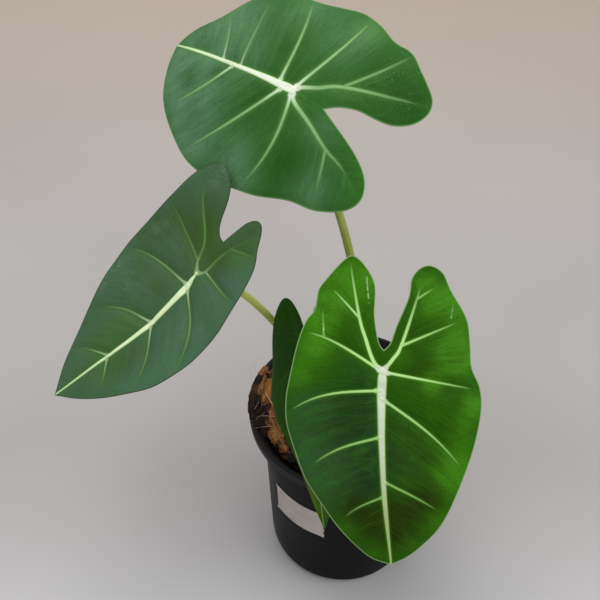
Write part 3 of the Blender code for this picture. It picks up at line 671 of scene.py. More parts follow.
def outer_patch(leaf, half, side, rows):
    """From the spine out to the margin: a + (b - a) u, swung back by each vein's swing. The lift is the
    swelling between veins, sin(pi share) sin(pi u)^0.7, plus the margin's wave, u^2 sin(turn).
    Columns of the result: along, across, lift, rib depth, distance out and flow."""
    count = np.interp(rows, half["starts"], np.arange(len(half["starts"])))[:, None]
    margin_at = np.interp(rows, half["starts"], half["ends"])
    a = along(half["spine"], half["spine_run"], rows)[:, None, :]
    b = along(half["margin"], half["margin_run"], margin_at)[:, None, :]
    u = OUTER_COLUMNS[None, :]
    points = a + (b - a) * u[..., None]
    span = np.linalg.norm(b - a, axis=-1)
    points[..., 0] -= np.interp(rows, half["starts"], half["swings"])[:, None] * swung(leaf, u)
    swell = QUILT_HEIGHT * np.sin(np.pi * (count % 1.0)) * np.sin(np.pi * u) ** SWELL_POWER
    swell = swell * np.clip(span / QUILT_SPAN, 0.0, 1.0)
    share = (margin_at / half["margin_run"][-1])[:, None]
    turn = leaf["wave_turn"] + (0.0 if side == "right" else LEFT_WAVE_TURN)
    wave = MARGIN_WAVE * u ** 2 * np.sin(TAU * MARGIN_WAVES * share + turn) * np.sin(np.pi * share)
    ribs = rib_depth(a, leaf, half) * np.ones_like(u)
    flow = np.interp(rows, half["starts"], half["flow"])[:, None] * np.ones_like(u)
    return np.dstack([points, swell + wave, ribs, span * u, flow])


def inner_patch(leaf, half, rows):
    """From the lobe's rib in to the notch, down to the line from junction to notch, swelling a little."""
    share = ((rows - rows[0]) / -rows[0])[:, None]
    a = along(half["spine"], half["spine_run"], rows)[:, None, :]
    b = along(half["lobe"], half["lobe_run"], share[:, 0] * half["lobe_run"][-1])[:, None, :]
    u = INNER_COLUMNS[None, :]
    points = a + (b - a) * u[..., None]
    swell = INNER_SWELL * QUILT_HEIGHT * np.sin(np.pi * share) * np.sin(np.pi * u)
    ribs = rib_depth(a, leaf, half) * np.ones_like(u)
    flow = np.interp(rows, half["starts"], half["flow"])[:, None] * np.ones_like(u)
    return np.dstack([points, swell, ribs, np.linalg.norm(b - a, axis=-1) * u, flow])


def bend(leaf, flat, lift):
    """Curve a flat blade: droop turns it along the midrib, ahead = sin(droop x) / droop, and fold across it,
    lift - fold y^2."""
    droop = leaf["droop"] / 1000.0
    x, y = leaf["size"] * flat[:, 0], leaf["size"] * flat[:, 1]
    lift = lift - leaf["fold"] / 1000.0 * y ** 2
    turn = droop * x
    ahead = np.sin(turn) / droop + lift * np.sin(turn)
    above = (np.cos(turn) - 1.0) / droop + lift * np.cos(turn)
    return np.stack([ahead, y, above], -1)


def facing_of(leaf):
    return unit(np.array(leaf["facing"], float))


def in_place(leaf, points):
    """Stand a blade's points in the plant: X along the midrib, Y to the leaf's right, Z off its face."""
    facing = facing_of(leaf)
    heading = np.array(leaf["heading"], float)
    heading = unit(heading - facing * heading.dot(facing))
    return np.array(leaf["junction"]) + points @ np.stack([heading, np.cross(facing, heading), facing])


def vein_path(leaf, half, index, swing):
    """A vein: straight from its start on the spine to its end at the margin, swung back between."""
    a = along(half["spine"], half["spine_run"], half["starts"][index])
    b = along(half["margin"], half["margin_run"], half["ends"][index])
    u = np.linspace(0.0, 1.0, VEIN_POINTS)[:, None]
    path = a + (b - a) * u
    path[:, 0] -= swing * swung(leaf, u[:, 0])
    return path


def vein_edge(points, path, half_width, shows, force):
    """Distance beyond a vein's edge, whose half width falls as (1 - way)^0.4 and below 0 where it fades, and
    how strongly the vein shows there, force * (1 - 0.78 way^3)."""
    gap, share = distance_to(points, path)
    way = np.clip(share / shows, 0.0, 1.2)
    width = half_width * np.clip(1.0 - way, 0.0, 1.0) ** VEIN_TAPER - 2.5 * np.clip(way - VEIN_END, 0.0, None)
    return gap - width, gap, share, force * (1.0 - VEIN_FADE * np.minimum(way, 1.0) ** 3)


def round_keel(gap, half_width):
    """A keel's section: (1 - (gap / half width)^2)^2."""
    return np.clip(1 - (gap / half_width) ** 2, 0, 1) ** 2


def valley(edge):
    """A bell curve beside a rib or vein, from its edge outwards."""
    return np.exp(-(np.clip(edge, 0, None) / VALLEY_WIDTH) ** 2)


def leaf_marks(leaf, halves, flat):
    """What the finishes and the relief need at each point: millimetres beyond the edge of a rib, a vein and
    the margin, how deep the keels below go, and soft spots of tone. Where a vein meets the midrib its edge
    is rounded out by h^2 / 4k, with h how much nearer than k the two edges are to each other."""
    midrib = smooth(leaf["midrib"])[::4]
    gap, share = distance_to(flat, midrib)
    where, widths = np.array(leaf["midrib_half"]).T
    rib = gap - np.interp(share * run_of(midrib)[-1], where, widths)
    spine_gap = gap
    vein, force = np.full(len(flat), FAR), np.ones(len(flat))
    keel = np.zeros(len(flat))
    for side, half in halves.items():
        lines = [(half["costa"][::4], leaf["costa_half"], leaf[side + "_costa_shows"], leaf["costa_force"])]
        lines += [(vein_path(leaf, half, index + 1, item[2]), item[4], item[3], item[5])
                  for index, item in enumerate(leaf[side + "_veins"])]
        if side == "left":
            lines += [(np.linspace(item[0], item[1], 8), item[4], item[3], item[5]) for item in leaf["twigs"]]
        for index, (path, width, shows, strength) in enumerate(lines):
            edge, gap, share, power = vein_edge(flat, path, width, shows, strength)
            force = np.where(edge < vein, power, force)
            vein = np.minimum(vein, edge)
            if index == 0:
                spine_gap = np.minimum(spine_gap, gap)
            elif index <= len(leaf[side + "_veins"]):
                ridge = round_keel(gap, VEIN_KEEL_HALF) * (1 - ease(share, 0.6, 0.95))
                keel = np.maximum(keel, ridge)
    outline = np.vstack([halves["right"]["outline"], halves["left"]["outline"][::-1]])[::2]
    margin, _ = distance_to(flat, outline)
    scar = np.full(len(flat), FAR)
    for path in leaf["scars"]:
        gap, _ = distance_to(flat, np.array(path, float))
        scar = np.minimum(scar, gap)
    flare = FLARE_REACH + JUNCTION_FLARE * np.exp(-(flat ** 2).sum(-1) / FLARE_SPREAD)
    near = np.clip(flare - np.abs(rib - vein), 0.0, None)
    return {
        "rib": rib, "vein": vein - near ** 2 / (4 * flare), "force": force, "margin": margin, "keel": keel,
        "spine_gap": spine_gap, "scar": scar,
        "reach": np.linalg.norm(flat, axis=1) / np.linalg.norm(leaf["midrib"][-1]),
        **{tone: spots(flat, leaf[tone]) for tone in TONES},
    }


def make_blade(name, leaf, finishes):
    """A waved blade on a fine grid. The upper face adds a rounded midrib, raised veins in shallow valleys
    and a thin edge to the source's form, and the lower face adds the ribs as rounded keels."""
    halves = {side: make_half(leaf, side) for side in ("right", "left")}
    ahead = fine_rows(0.0, halves["right"]["spine_run"][-1], halves.values())
    grids, triangles, start = [], [], 0
    for side in ("right", "left"):
        half = halves[side]
        behind = fine_rows(half["spine_run"][0], 0.0, [half])
        outer = outer_patch(leaf, half, side, np.concatenate([behind, ahead[1:]]))
        inner = inner_patch(leaf, half, behind)
        for grid, turned in ((outer, side == "right"), (inner, side == "left")):
            cells = start + grid_triangles(*grid.shape[:2])
            triangles.append(cells[:, ::-1] if turned else cells)
            grids.append(grid.reshape(-1, grid.shape[2]))
            start += len(grids[-1])
    cells = np.vstack(grids)
    first, triangles = weld(cells[:, :2], np.vstack(triangles))
    flat, lift, ribs, out, flow = cells[first, :2], *cells[first, 2:].T
    marks = leaf_marks(leaf, halves, flat)
    rib, vein, margin = marks["rib"], marks["vein"], marks["margin"]
    edge_fade = ease(margin, 0.0, EDGE_FADE)
    relief = RIB_RELIEF * ease(-rib, -0.5, 0.7) - RIB_VALLEY * valley(rib)
    relief += marks["force"] * (VEIN_RELIEF * ease(-vein, -0.45, 0.35) - VEIN_VALLEY * valley(vein))
    thick = EDGE_THICK + (BLADE_THICK - EDGE_THICK) * edge_fade
    spine_keel = round_keel(marks.pop("spine_gap"), RIB_KEEL_HALF)
    keels = np.maximum(ribs * spine_keel, VEIN_DEPTH * marks.pop("keel") * edge_fade)
    shift = 0.5 * (CAD_BLADE_THICK - EDGE_THICK) * (1 - edge_fade)
    top = bend(leaf, flat, lift - shift + relief * edge_fade)
    under = bend(leaf, flat, lift - shift - thick - keels)
    faces = closed_sheet(triangles, len(flat))
    choice = np.zeros(len(faces))
    choice[len(triangles):2 * len(triangles)] = 1
    points = in_place(leaf, np.vstack([top, under]))
    uv = np.stack([out, flow], -1) / PATTERN_UNIT
    marks = {key: np.tile(values, 2) for key, values in marks.items()}
    faces = outwards(points, faces)
    thing = make_mesh(f"{name}_blade", points, faces, finishes, choice, np.tile(uv, (2, 1)), marks)
    return hand_in(thing, leaf["finish"], f"{name}_blade")


# Stalks

def stalk_path(leaf, shares):
    """The source's path: straight up in the socket, then the Bezier curve from the crown to the junction,
    carried a little further into the rib."""
    turn = np.radians(leaf["foot_angle"])
    x, y = FOOT_CIRCLE * np.cos(turn), FOOT_CIRCLE * np.sin(turn)
    foot, start = np.array([x, y, FOOT_LEVEL]), np.array([x, y, CROWN_TOP])
    facing = facing_of(leaf)
    head = np.array(leaf["junction"]) - facing * (CAD_BLADE_THICK + MIDRIB_DEPTH + STALK_GAP)
    low, high = start + np.array(leaf["foot_pull"]), head + np.array(leaf["head_pull"])
    t = shares[:, None]
    curve = start * (1 - t) ** 3 + 3 * low * t * (1 - t) ** 2 + 3 * high * t ** 2 * (1 - t) + head * t ** 3
    up = np.linspace(0.0, 1.0, SOCKET_RINGS, endpoint=False)[:, None]
    end = head + facing * STALK_INTO_RIB * np.array([[0.5], [1.0]])
    return np.vstack([foot + (start - foot) * up, curve, end])


def make_stalk(name, leaf, finish):
    """A tube whose radius tapers to the blade and widens to the sheath's share, with two low wings beside a
    groove at the foot and a slight swelling under the blade."""
    shares = np.linspace(0.0, 1.0, STALK_RINGS)
    path = stalk_path(leaf, shares)
    share = np.concatenate([np.zeros(SOCKET_RINGS), shares, [1.0, 1.0]])
    taper = STALK_LOW_RADIUS + (STALK_TOP_RADIUS - STALK_LOW_RADIUS) * share
    sheath = (FOOT_RADIUS - STALK_LOW_RADIUS) * np.clip(1.0 - share / SHEATH_SHARE, 0.0, 1.0) ** 2
    length = run_of(path)
    swell = NECK_SWELL * np.exp(-((length - length[-1] + 2.0) / 4.0) ** 2)
    radii = taper + sheath + swell
    _, _, axes = np.linalg.svd(path - path.mean(0))
    angle = np.linspace(0, TAU, STALK_SIDES, endpoint=False)
    wing = np.exp(-((np.abs(angle - np.pi) - WING_TURN) / WING_WIDTH) ** 2)
    wing = wing - GROOVE_DEPTH * np.exp(-((angle - np.pi) / GROOVE_WIDTH) ** 2)
    fade = np.clip(1.0 - share / SHEATH_SHARE, 0.0, 1.0)[:, None]
    ripple = 1.0 + WING_RISE * fade * wing[None] + FLUTE_DEPTH * np.sin(7 * angle)[None]
    points, triangles = tubes(path[None], radii[None], STALK_SIDES, axes[2][None], ripple[None])
    points = points.reshape(-1, 3)
    length = length / PATTERN_UNIT
    ring = np.concatenate([np.repeat(length, STALK_SIDES), [0.0, length[-1]]])
    turn = np.concatenate([np.tile(angle / TAU, len(path)), [0.0, 0.0]])
    uv = np.stack([turn, ring], -1)
    way = np.concatenate([np.repeat(share, STALK_SIDES), [0.0, 1.0]])
    # The lit mark is painted light: a stalk that stands more in the light, most of all the left one, is made
    # lighter.
    marks = {"way": way, "lit": np.full(len(way), leaf["stalk_painted_light"])}
    thing = make_mesh(f"{name}_petiole", points, triangles, [finish], uv=uv, marks=marks)
    return hand_in(thing, "stalk_green", f"{name}_petiole")


# Pot and label

def arc(centre_r, centre_z, radius, start, end, count):
    """Points on a round corner of a profile, angles in degrees from +r."""
    angles = np.radians(np.linspace(start, end, count))
    return [(centre_r + radius * np.cos(a), centre_z + radius * np.sin(a)) for a in angles]


def body_radius(z):
    return BASE_RADIUS + (BODY_TOP_RADIUS - BASE_RADIUS) * z / (POT_HEIGHT - RIM_BAND)


def inner_radius(z):
    """Inner radius of the pot: the body's wall, then a flare out to the rim's lip."""
    flare = np.clip((z - FLARE_LOW) / (POT_HEIGHT - LIP_ROUND - FLARE_LOW), 0.0, 1.0)
    wall = body_radius(np.minimum(z, FLARE_LOW)) - WALL
    return wall + (RIM_RADIUS - LIP_WIDTH - wall) * flare


def turn_round(profile, sides):
    """Carry an (r, z) profile round Z: (r cos a, r sin a, z)."""
    r, z = np.array(profile, float).T[..., None]
    return about_axis(r, np.linspace(0, TAU, sides, endpoint=False), z * np.ones(sides))


def drained_floor(radius):
    """The pot's floor as one sixth repeated: each sixth is a surface that runs, on straight lines, from its
    own edge in to the drain hole below, up the hole's wall, and out again above."""
    half = np.pi / DRAIN_COUNT
    turns = np.linspace(-half, half, POT_SIDES // DRAIN_COUNT + 1)
    rim = radius * np.stack([np.cos(turns), np.sin(turns)], -1)
    inward = np.linspace(1.0, 0.0, SECTOR_LINE_POINTS + 1)[1:, None]
    loop = np.vstack([rim, rim[-1] * inward, (rim[0] * inward)[::-1][1:]])
    middle = np.array([DRAIN_CIRCLE, 0.0])
    hole = middle + DRAIN_RADIUS * unit(loop - middle)
    rows = [(loop, 0.0), (0.5 * (loop + hole), 0.0), (hole, 0.0), (hole, FLOOR), (0.5 * (loop + hole), FLOOR),
            (loop, FLOOR)]
    sector = np.stack([np.column_stack([flat, np.full(len(flat), z)]) for flat, z in rows])
    parts = []
    for i in range(DRAIN_COUNT):
        turn = np.array(Matrix.Rotation(TAU * i / DRAIN_COUNT, 3, "Z"))
        parts.append(sector @ turn.T)
    return parts


def make_pot(finish):
    """A turned shell: up the inside from the floor's edge, over the lip, down the rim's band and the tapered
    body to the rounded heel, closed by the drained floor."""
    rim_low = POT_HEIGHT - RIM_BAND
    band = RIM_RADIUS - RIM_DRAFT
    heel_r = BASE_RADIUS - HEEL_RADIUS
    profile = arc(heel_r, HEEL_RADIUS, HEEL_RADIUS - FLOOR, -90, 0, 8)
    profile += [(inner_radius(z), z) for z in np.linspace(12.0, FLARE_LOW, 10)]
    profile += [(inner_radius(z), z) for z in np.linspace(FLARE_LOW, POT_HEIGHT - LIP_ROUND, 8)[1:]]
    profile += arc(RIM_RADIUS - LIP_WIDTH + LIP_ROUND, POT_HEIGHT - LIP_ROUND, LIP_ROUND, 150, 90, 6)
    profile += arc(RIM_RADIUS - LIP_ROUND, POT_HEIGHT - LIP_ROUND, LIP_ROUND, 90, 0, 8)
    profile += arc(band - LIP_ROUND, rim_low + LIP_ROUND, LIP_ROUND, 0, -90, 6)
    profile += arc(BODY_TOP_RADIUS + LIP_ROUND, rim_low - LIP_ROUND, LIP_ROUND, 90, 180, 5)
    profile += [(body_radius(z), z) for z in np.linspace(rim_low - 6.0, 9.0, 12)]
    profile += arc(heel_r, HEEL_RADIUS, HEEL_RADIUS, 0, -90, 12)
    points, triangles, start = [], [], 0
    for index, grid in enumerate([turn_round(profile, POT_SIDES), *drained_floor(heel_r)]):
        cells = start + grid_triangles(*grid.shape[:2], True)
        triangles.append(cells if index == 0 else cells[:, ::-1])
        points.append(grid.reshape(-1, 3))
        start += len(points[-1])
    points, triangles = closed_skin(np.vstack(points), np.vstack(triangles))
    thing = make_mesh("nursery_pot", points, triangles, [finish])
    thing.data.set_sharp_from_angle(angle=np.radians(35.0))
    return hand_in(thing, "black_plastic", "nursery_pot")


def wander(rng, count, knots):
    """A random line from -1 to 1 through evenly spaced knots."""
    return np.interp(np.linspace(0, 1, count), np.linspace(0, 1, knots), rng.uniform(-1, 1, knots))


def make_label(finish):
    """Bare tape on the pot: r = pot radius + lift, over a patch of (turn, height) with torn ends, slightly
    wavy edges and corners that curl off as |2u - 1|^9 |2v - 1|^5."""
    rng = np.random.default_rng(LABEL_SEED)
    columns, rows = LABEL_GRID
    u, v = np.meshgrid(np.linspace(0, 1, columns), np.linspace(0, 1, rows), indexing="ij")
    start = LABEL_ENDS[0] + 0.35 * wander(rng, rows, TEAR_KNOTS)
    end = LABEL_ENDS[1] - 0.6 + 0.7 * wander(rng, rows, TEAR_KNOTS)
    bottom = LABEL_HEIGHTS[0] + EDGE_WAVE * wander(rng, columns, EDGE_KNOTS)
    top = LABEL_HEIGHTS[1] + EDGE_WAVE * wander(rng, columns, EDGE_KNOTS)
    turn = np.radians(start + (end - start) * u)
    z = bottom[:, None] + (top - bottom)[:, None] * v
    reach = body_radius(z)
    curl = LABEL_CURL * (np.abs(2 * u - 1) ** 9) * (np.abs(2 * v - 1) ** 5)
    points = np.vstack([about_axis(reach + lift + curl, turn, z).reshape(-1, 3)
                        for lift in (LABEL_LIFT + LABEL_THICK, LABEL_LIFT)])
    triangles = outwards(points, closed_sheet(grid_triangles(*u.shape), u.size))
    uv = np.stack([u.ravel() * LABEL_PATTERN[0], v.ravel() * LABEL_PATTERN[1]], -1)
    rim = np.minimum(np.minimum(u, 1 - u) * LABEL_SIZE[0], np.minimum(v, 1 - v) * LABEL_SIZE[1]).ravel()
    thing = make_mesh("pot_label", points, triangles, [finish], uv=np.tile(uv, (2, 1)),
                      marks={"rim": np.tile(rim, 2)})
    thing.data.set_sharp_from_angle(angle=np.radians(40.0))
    return hand_in(thing, "tape", "pot_label")


# Mix and crown

def lumps(turn, radius, seeds, amounts):
    """A sum of waves over the mix's top: amount * sin(k . (x, y) + phase), with seeded directions."""
    x, y = radius * np.cos(turn), radius * np.sin(turn)
    total = np.zeros_like(x)
    for (kx, ky, phase), amount in zip(seeds, amounts):
        total += amount * np.sin(kx * x + ky * y + phase)
    return total


def make_mix(finish):
    """The mix's body: rings across the floor, up the wall, in over the lumpy top and down the crown's
    hole. The top is heaped a little at the left."""
    rng = np.random.default_rng(CHIP_SEED)
    hole = CROWN_RADIUS + FIT_GAP
    wall = inner_radius(MIX_LEVEL) - MIX_GAP
    top_r = np.linspace(wall, hole + 0.6, MIX_RINGS)
    profile = [(0.0, FLOOR + FIT_GAP), (BASE_RADIUS - HEEL_RADIUS, FLOOR + FIT_GAP),
               (BASE_RADIUS - FLOOR - 2 * FIT_GAP, HEEL_RADIUS + 1.0),
               (inner_radius(FLARE_LOW) - MIX_GAP, FLARE_LOW)]
    first_top = len(profile)
    profile += [(r, MIX_LEVEL - 0.4) for r in top_r]
    profile += [(hole, MIX_LEVEL - 0.4), (hole, CROWN_FOOT - FIT_GAP), (0.0, CROWN_FOOT - FIT_GAP)]
    grid = turn_round(profile, MIX_SIDES)
    angle = np.linspace(0, TAU, MIX_SIDES, endpoint=False)[None]
    seeds = np.column_stack([rng.uniform(-1.1, 1.1, (10, 2)), rng.uniform(0, TAU, 10)])
    bump = lumps(angle, top_r[:, None], seeds, rng.uniform(0.12, 0.45, 10))
    fade = ease(wall - top_r, 0.0, 2.0)[:, None] * ease(top_r - hole, 0.5, 2.0)[:, None]
    heap = np.exp(-((angle - np.radians(HEAP_TURN)) / HEAP_SPREAD) ** 2) * ease(top_r, 34.0, 43.0)[:, None]
    rough = rng.uniform(-0.25, 0.25, bump.shape) * fade
    grid[first_top:first_top + MIX_RINGS, :, 2] += bump * (0.25 + 0.75 * fade) + rough + HEAP_HEIGHT * heap
    points, triangles = closed_skin(grid.reshape(-1, 3), grid_triangles(*grid.shape[:2], True))
    thing = make_mesh("potting_mix", points, triangles, [finish])
    return hand_in(thing, "coconut_mix", "potting_mix")


def unit_lump(rows, columns):
    """A closed ball as a grid from pole to pole, and its triangles."""
    polar = np.linspace(0, np.pi, rows)[:, None]
    turn = np.linspace(0, TAU, columns, endpoint=False)[None]
    grid = about_axis(np.sin(polar), turn, np.cos(polar) * np.ones_like(turn))
    return closed_skin(grid.reshape(-1, 3), grid_triangles(rows, columns, True))


def turned_by(yaw, tilt, roll):
    """Rotation matrices, one for each set of angles: roll about X, then tilt about Y, then yaw about Z."""
    (cy, ct, cr), (sy, st, sr) = np.cos([yaw, tilt, roll]), np.sin([yaw, tilt, roll])
    rows = [cy * ct, cy * st * sr - sy * cr, cy * st * cr + sy * sr,
            sy * ct, sy * st * sr + cy * cr, sy * st * cr - cy * sr, -st, ct * sr, ct * cr]
    return np.stack(rows, -1).reshape(-1, 3, 3)


# Chips that the photo shows at the left: place in millimetres, size, yaw in degrees and shade
PLACED_CHIPS = [
    ((-44.9, 9.6, 111.2), (16, 8, 4.5), 80, 0.86), ((-44.2, -2.2, 109.9), (10, 6, 4), 96, 0.10),
    ((-46.8, 0.6, 110.8), (8, 3, 3), 92, 0.02), ((-40.6, -3.2, 109.4), (9, 6, 4), 100, 0.80),
    ((-40.2, -10.0, 109.0), (9, 6, 4), 106, 0.74), ((-37.6, -17.2, 109.0), (11, 7, 4), 118, 0.88),
    ((-33.4, -23.4, 108.6), (8, 5, 3), 132, 0.60), ((-43.8, 24.2, 110.6), (7, 5, 3), 60, 0.45),
    ((-45.6, 18.8, 110.2), (7, 5, 3), 66, 0.02), ((-30.0, -30.0, 108.2), (8, 5, 3), 138, 0.15),
    ((-37.5, 4.5, 109.0), (9, 7, 5), 60, 0.55), ((-38.5, 15.5, 109.2), (10, 7, 4), 70, 0.66),
    ((-47.4, 10.5, 111.6), (9, 5, 4), 78, 0.84), ((-48.0, 2.5, 111.8), (8, 4, 4), 88, 0.03),
    ((-47.9, -4.0, 111.0), (7, 4, 4), 96, 0.12), ((-45.6, 16.8, 111.4), (8, 5, 4), 68, 0.07),
    ((-44.4, -7.6, 109.6), (8, 5, 4), 100, 0.05), ((-43.4, 22.0, 111.0), (7, 4, 3), 60, 0.62),
    ((-40.9, 27.0, 110.4), (8, 5, 4), 52, 0.30), ((-43.0, -0.5, 110.4), (6, 4, 3), 85, 0.40),
    ((-46.4, 20.6, 115.2), (8, 3.4, 2.4), 66, 0.72), ((-48.6, 14.6, 115.4), (9, 3.6, 2.6), 73, 0.06),
    ((-50.2, 8.0, 115.4), (9, 3.8, 2.6), 81, 0.42), ((-50.9, 2.0, 115.3), (8, 3.6, 2.4), 88, 0.04),
    ((-50.8, -4.2, 115.2), (8, 3.6, 2.4), 95, 0.08), ((-49.9, -9.6, 115.0), (6, 3.0, 2.0), 101, 0.02),
    ((-48.0, 9.0, 114.0), (8, 4, 4), 80, 0.86), ((-47.0, 15.5, 113.8), (7, 4, 4), 72, 0.78),
    ((-48.2, 1.0, 113.8), (7, 4, 4), 92, 0.10), ((-47.8, -5.5, 113.2), (7, 4, 4), 97, 0.14),
    ((-48.0, -12.8, 113.6), (7, 4, 4), 104, 0.06), ((-46.2, -11.4, 112.0), (8, 5, 5), 100, 0.10),
    ((-44.8, -15.8, 110.6), (8, 5, 4), 108, 0.05), ((-43.6, -11.0, 110.4), (7, 4, 4), 104, 0.50),
    ((-32.7, -26.2, 110.4), (5, 3, 3), 126, 0.95),
]


def pressed_in(points):
    """Pull in whatever would come out through the pot's wall or rim. It may still lie in the plastic, but
    not past its outer face."""
    reach, height = np.linalg.norm(points[..., :2], axis=-1), points[..., 2]
    levels = [height < POT_HEIGHT - RIM_BAND + 0.5, height < POT_HEIGHT - 0.2]
    limit = np.select(levels, [WALL_REACH, RIM_REACH], OPEN_REACH)
    share = np.minimum(1.0, limit / np.maximum(reach, 1.0))
    return points * np.stack([share, share, np.ones_like(share)], -1)


def chip_set(rng, rows, columns, places, halves, yaws, shades, lean):
    """Chips from one ball squared off by a power, its poles at the ends. Ridges run along each: 1 + 0.06
    sin(k turn) + 0.04 sin((2k + 1) turn). Then each point moves a little at random."""
    ball, one = unit_lump(rows, columns)
    ball = ball[:, [2, 0, 1]]
    count = len(places)
    blocky = np.sign(ball) * np.abs(ball) ** 0.55
    turn = np.arctan2(ball[:, 2], ball[:, 1])[None]
    k, phase = rng.integers(4, 9, (count, 1)), rng.uniform(0, TAU, (count, 1))
    ridge = 1.0 + 0.06 * np.sin(k * turn + phase) + 0.04 * np.sin((2 * k + 1) * turn + 2 * phase)
    uneven = 1.0 + rng.normal(0, 0.09, (count, len(ball), 3))
    local = blocky[None] * ridge[..., None] * uneven * halves[:, None]
    turns = turned_by(yaws, rng.normal(0, lean, count), rng.normal(0, lean, count))
    points = np.einsum("nij,nkj->nki", turns, local) + places[:, None]
    triangles = one[None] + len(ball) * np.arange(count)[:, None, None]
    grain = local + 40.0 * rng.uniform(-1, 1, (count, 1, 3))
    return points.reshape(-1, 3), triangles.reshape(-1, 3), np.repeat(shades, len(ball)), grain.reshape(-1, 3)


def make_chips(finish):
    """Husk chips: many small ones scattered over the mix, crumbs heaped at the left, and the few that the
    photo shows, on a finer ball."""
    rng = np.random.default_rng(CHIP_SEED + 1)
    count, crumbs = CHIP_COUNT, CRUMB_COUNT
    radius = np.sqrt(rng.uniform(CHIP_RING[0] ** 2, CHIP_RING[1] ** 2, count))
    angle = rng.uniform(0, TAU, count)
    size = rng.uniform(0.0, 1.0, count) ** 1.7
    halves = np.stack([3.0 + 6.5 * size, 2.2 + 3.6 * size, 1.5 + 2.2 * size], -1) / 2
    halves *= rng.uniform(0.8, 1.2, (count, 3))
    places = about_axis(radius, angle, MIX_LEVEL + rng.uniform(-0.6, 1.5, count))
    edge = rng.uniform(*CRUMB_RING, crumbs)
    turn = np.radians(rng.normal(CRUMB_TURN, 13.0, crumbs))
    rise = CRUMB_LEVEL + (edge - CRUMB_RING[0]) * CRUMB_SLOPE + rng.uniform(-0.8, 0.9, crumbs)
    rise -= 2.5 * ease(np.abs(turn - np.radians(CRUMB_TURN)), 0.12, 0.50)
    places = np.vstack([places, about_axis(edge, turn, rise)])
    halves = np.vstack([halves, rng.uniform(0.4, 1.5, (crumbs, 3))])
    yaws, shades = rng.uniform(0, TAU, count + crumbs), rng.uniform(0, 1, count + crumbs)
    scattered = chip_set(rng, 6, 8, places, halves, yaws, shades, 0.32)
    places = np.array([item[0] for item in PLACED_CHIPS], float)
    halves = np.array([item[1] for item in PLACED_CHIPS], float) / 2
    yaws, shades = np.array([item[2:] for item in PLACED_CHIPS], float).T
    placed = chip_set(rng, 22, 34, places, halves, np.radians(yaws), shades, 0.08)
    points = pressed_in(np.vstack([scattered[0], placed[0]]))
    triangles = np.vstack([scattered[1], placed[1] + len(scattered[0])])
    marks = {"shade": np.concatenate([scattered[2], placed[2]]),
             "grain": np.vstack([scattered[3], placed[3]])}
    thing = make_mesh("husk_chips", points, triangles, [finish], marks=marks)
    thing.data.set_sharp_from_angle(angle=np.radians(48.0))
    return hand_in(thing, "coconut_mix")


# Fibres that the photo shows: three points in millimetres and a half thickness
PLACED_FIBRES = [
    ((-45.3, 9.4, 113.4), (-41.2, 1.6, 113.6), (-36.7, -5.8, 111.6), 0.34),
    ((-49.0, 21.0, 113.6), (-45.8, 22.2, 113.4), (-42.0, 22.4, 112.4), 0.42),
    ((-51.3, -11.0, 115.2), (-44.5, -8.2, 113.6), (-36.8, -6.4, 110.6), 0.17),
    ((-49.3, -18.0, 115.2), (-44.8, -15.4, 113.6), (-40.0, -13.0, 111.0), 0.15),
    ((-36.0, -18.0, 111.3), (-33.0, -24.0, 110.8), (-29.0, -29.0, 109.6), 0.18),
    ((-42.5, -3.0, 112.2), (-40.0, -9.0, 112.2), (-37.5, -16.0, 110.8), 0.14),
    ((-47.6, -2.0, 113.0), (-43.0, 0.5, 113.2), (-39.5, 3.5, 111.4), 0.12),
    ((-45.0, -7.5, 112.4), (-42.5, -12.0, 112.4), (-38.0, -14.0, 111.0), 0.12),
    ((-48.6, 6.0, 113.6), (-46.2, 2.0, 114.4), (-45.8, -4.0, 112.6), 0.13),
    ((-50.4, 12.0, 115.9), (-53.2, 16.5, 118.6), (-50.5, 22.0, 121.0), 0.055),
    ((-49.8, 15.0, 115.9), (-53.6, 19.0, 116.8), (-55.5, 24.0, 115.0), 0.05),
    ((-48.8, 18.0, 115.6), (-51.0, 24.5, 117.6), (-47.0, 30.0, 117.9), 0.055),
    ((-51.0, -14.0, 115.6), (-47.0, -10.5, 115.0), (-43.5, -4.5, 112.6), 0.11),
    ((-50.4, -9.0, 116.0), (-48.0, -3.0, 116.0), (-46.0, 3.0, 115.0), 0.09),
    ((-49.5, -15.5, 115.4), (-46.5, -12.5, 114.6), (-42.5, -11.5, 112.4), 0.10),
]


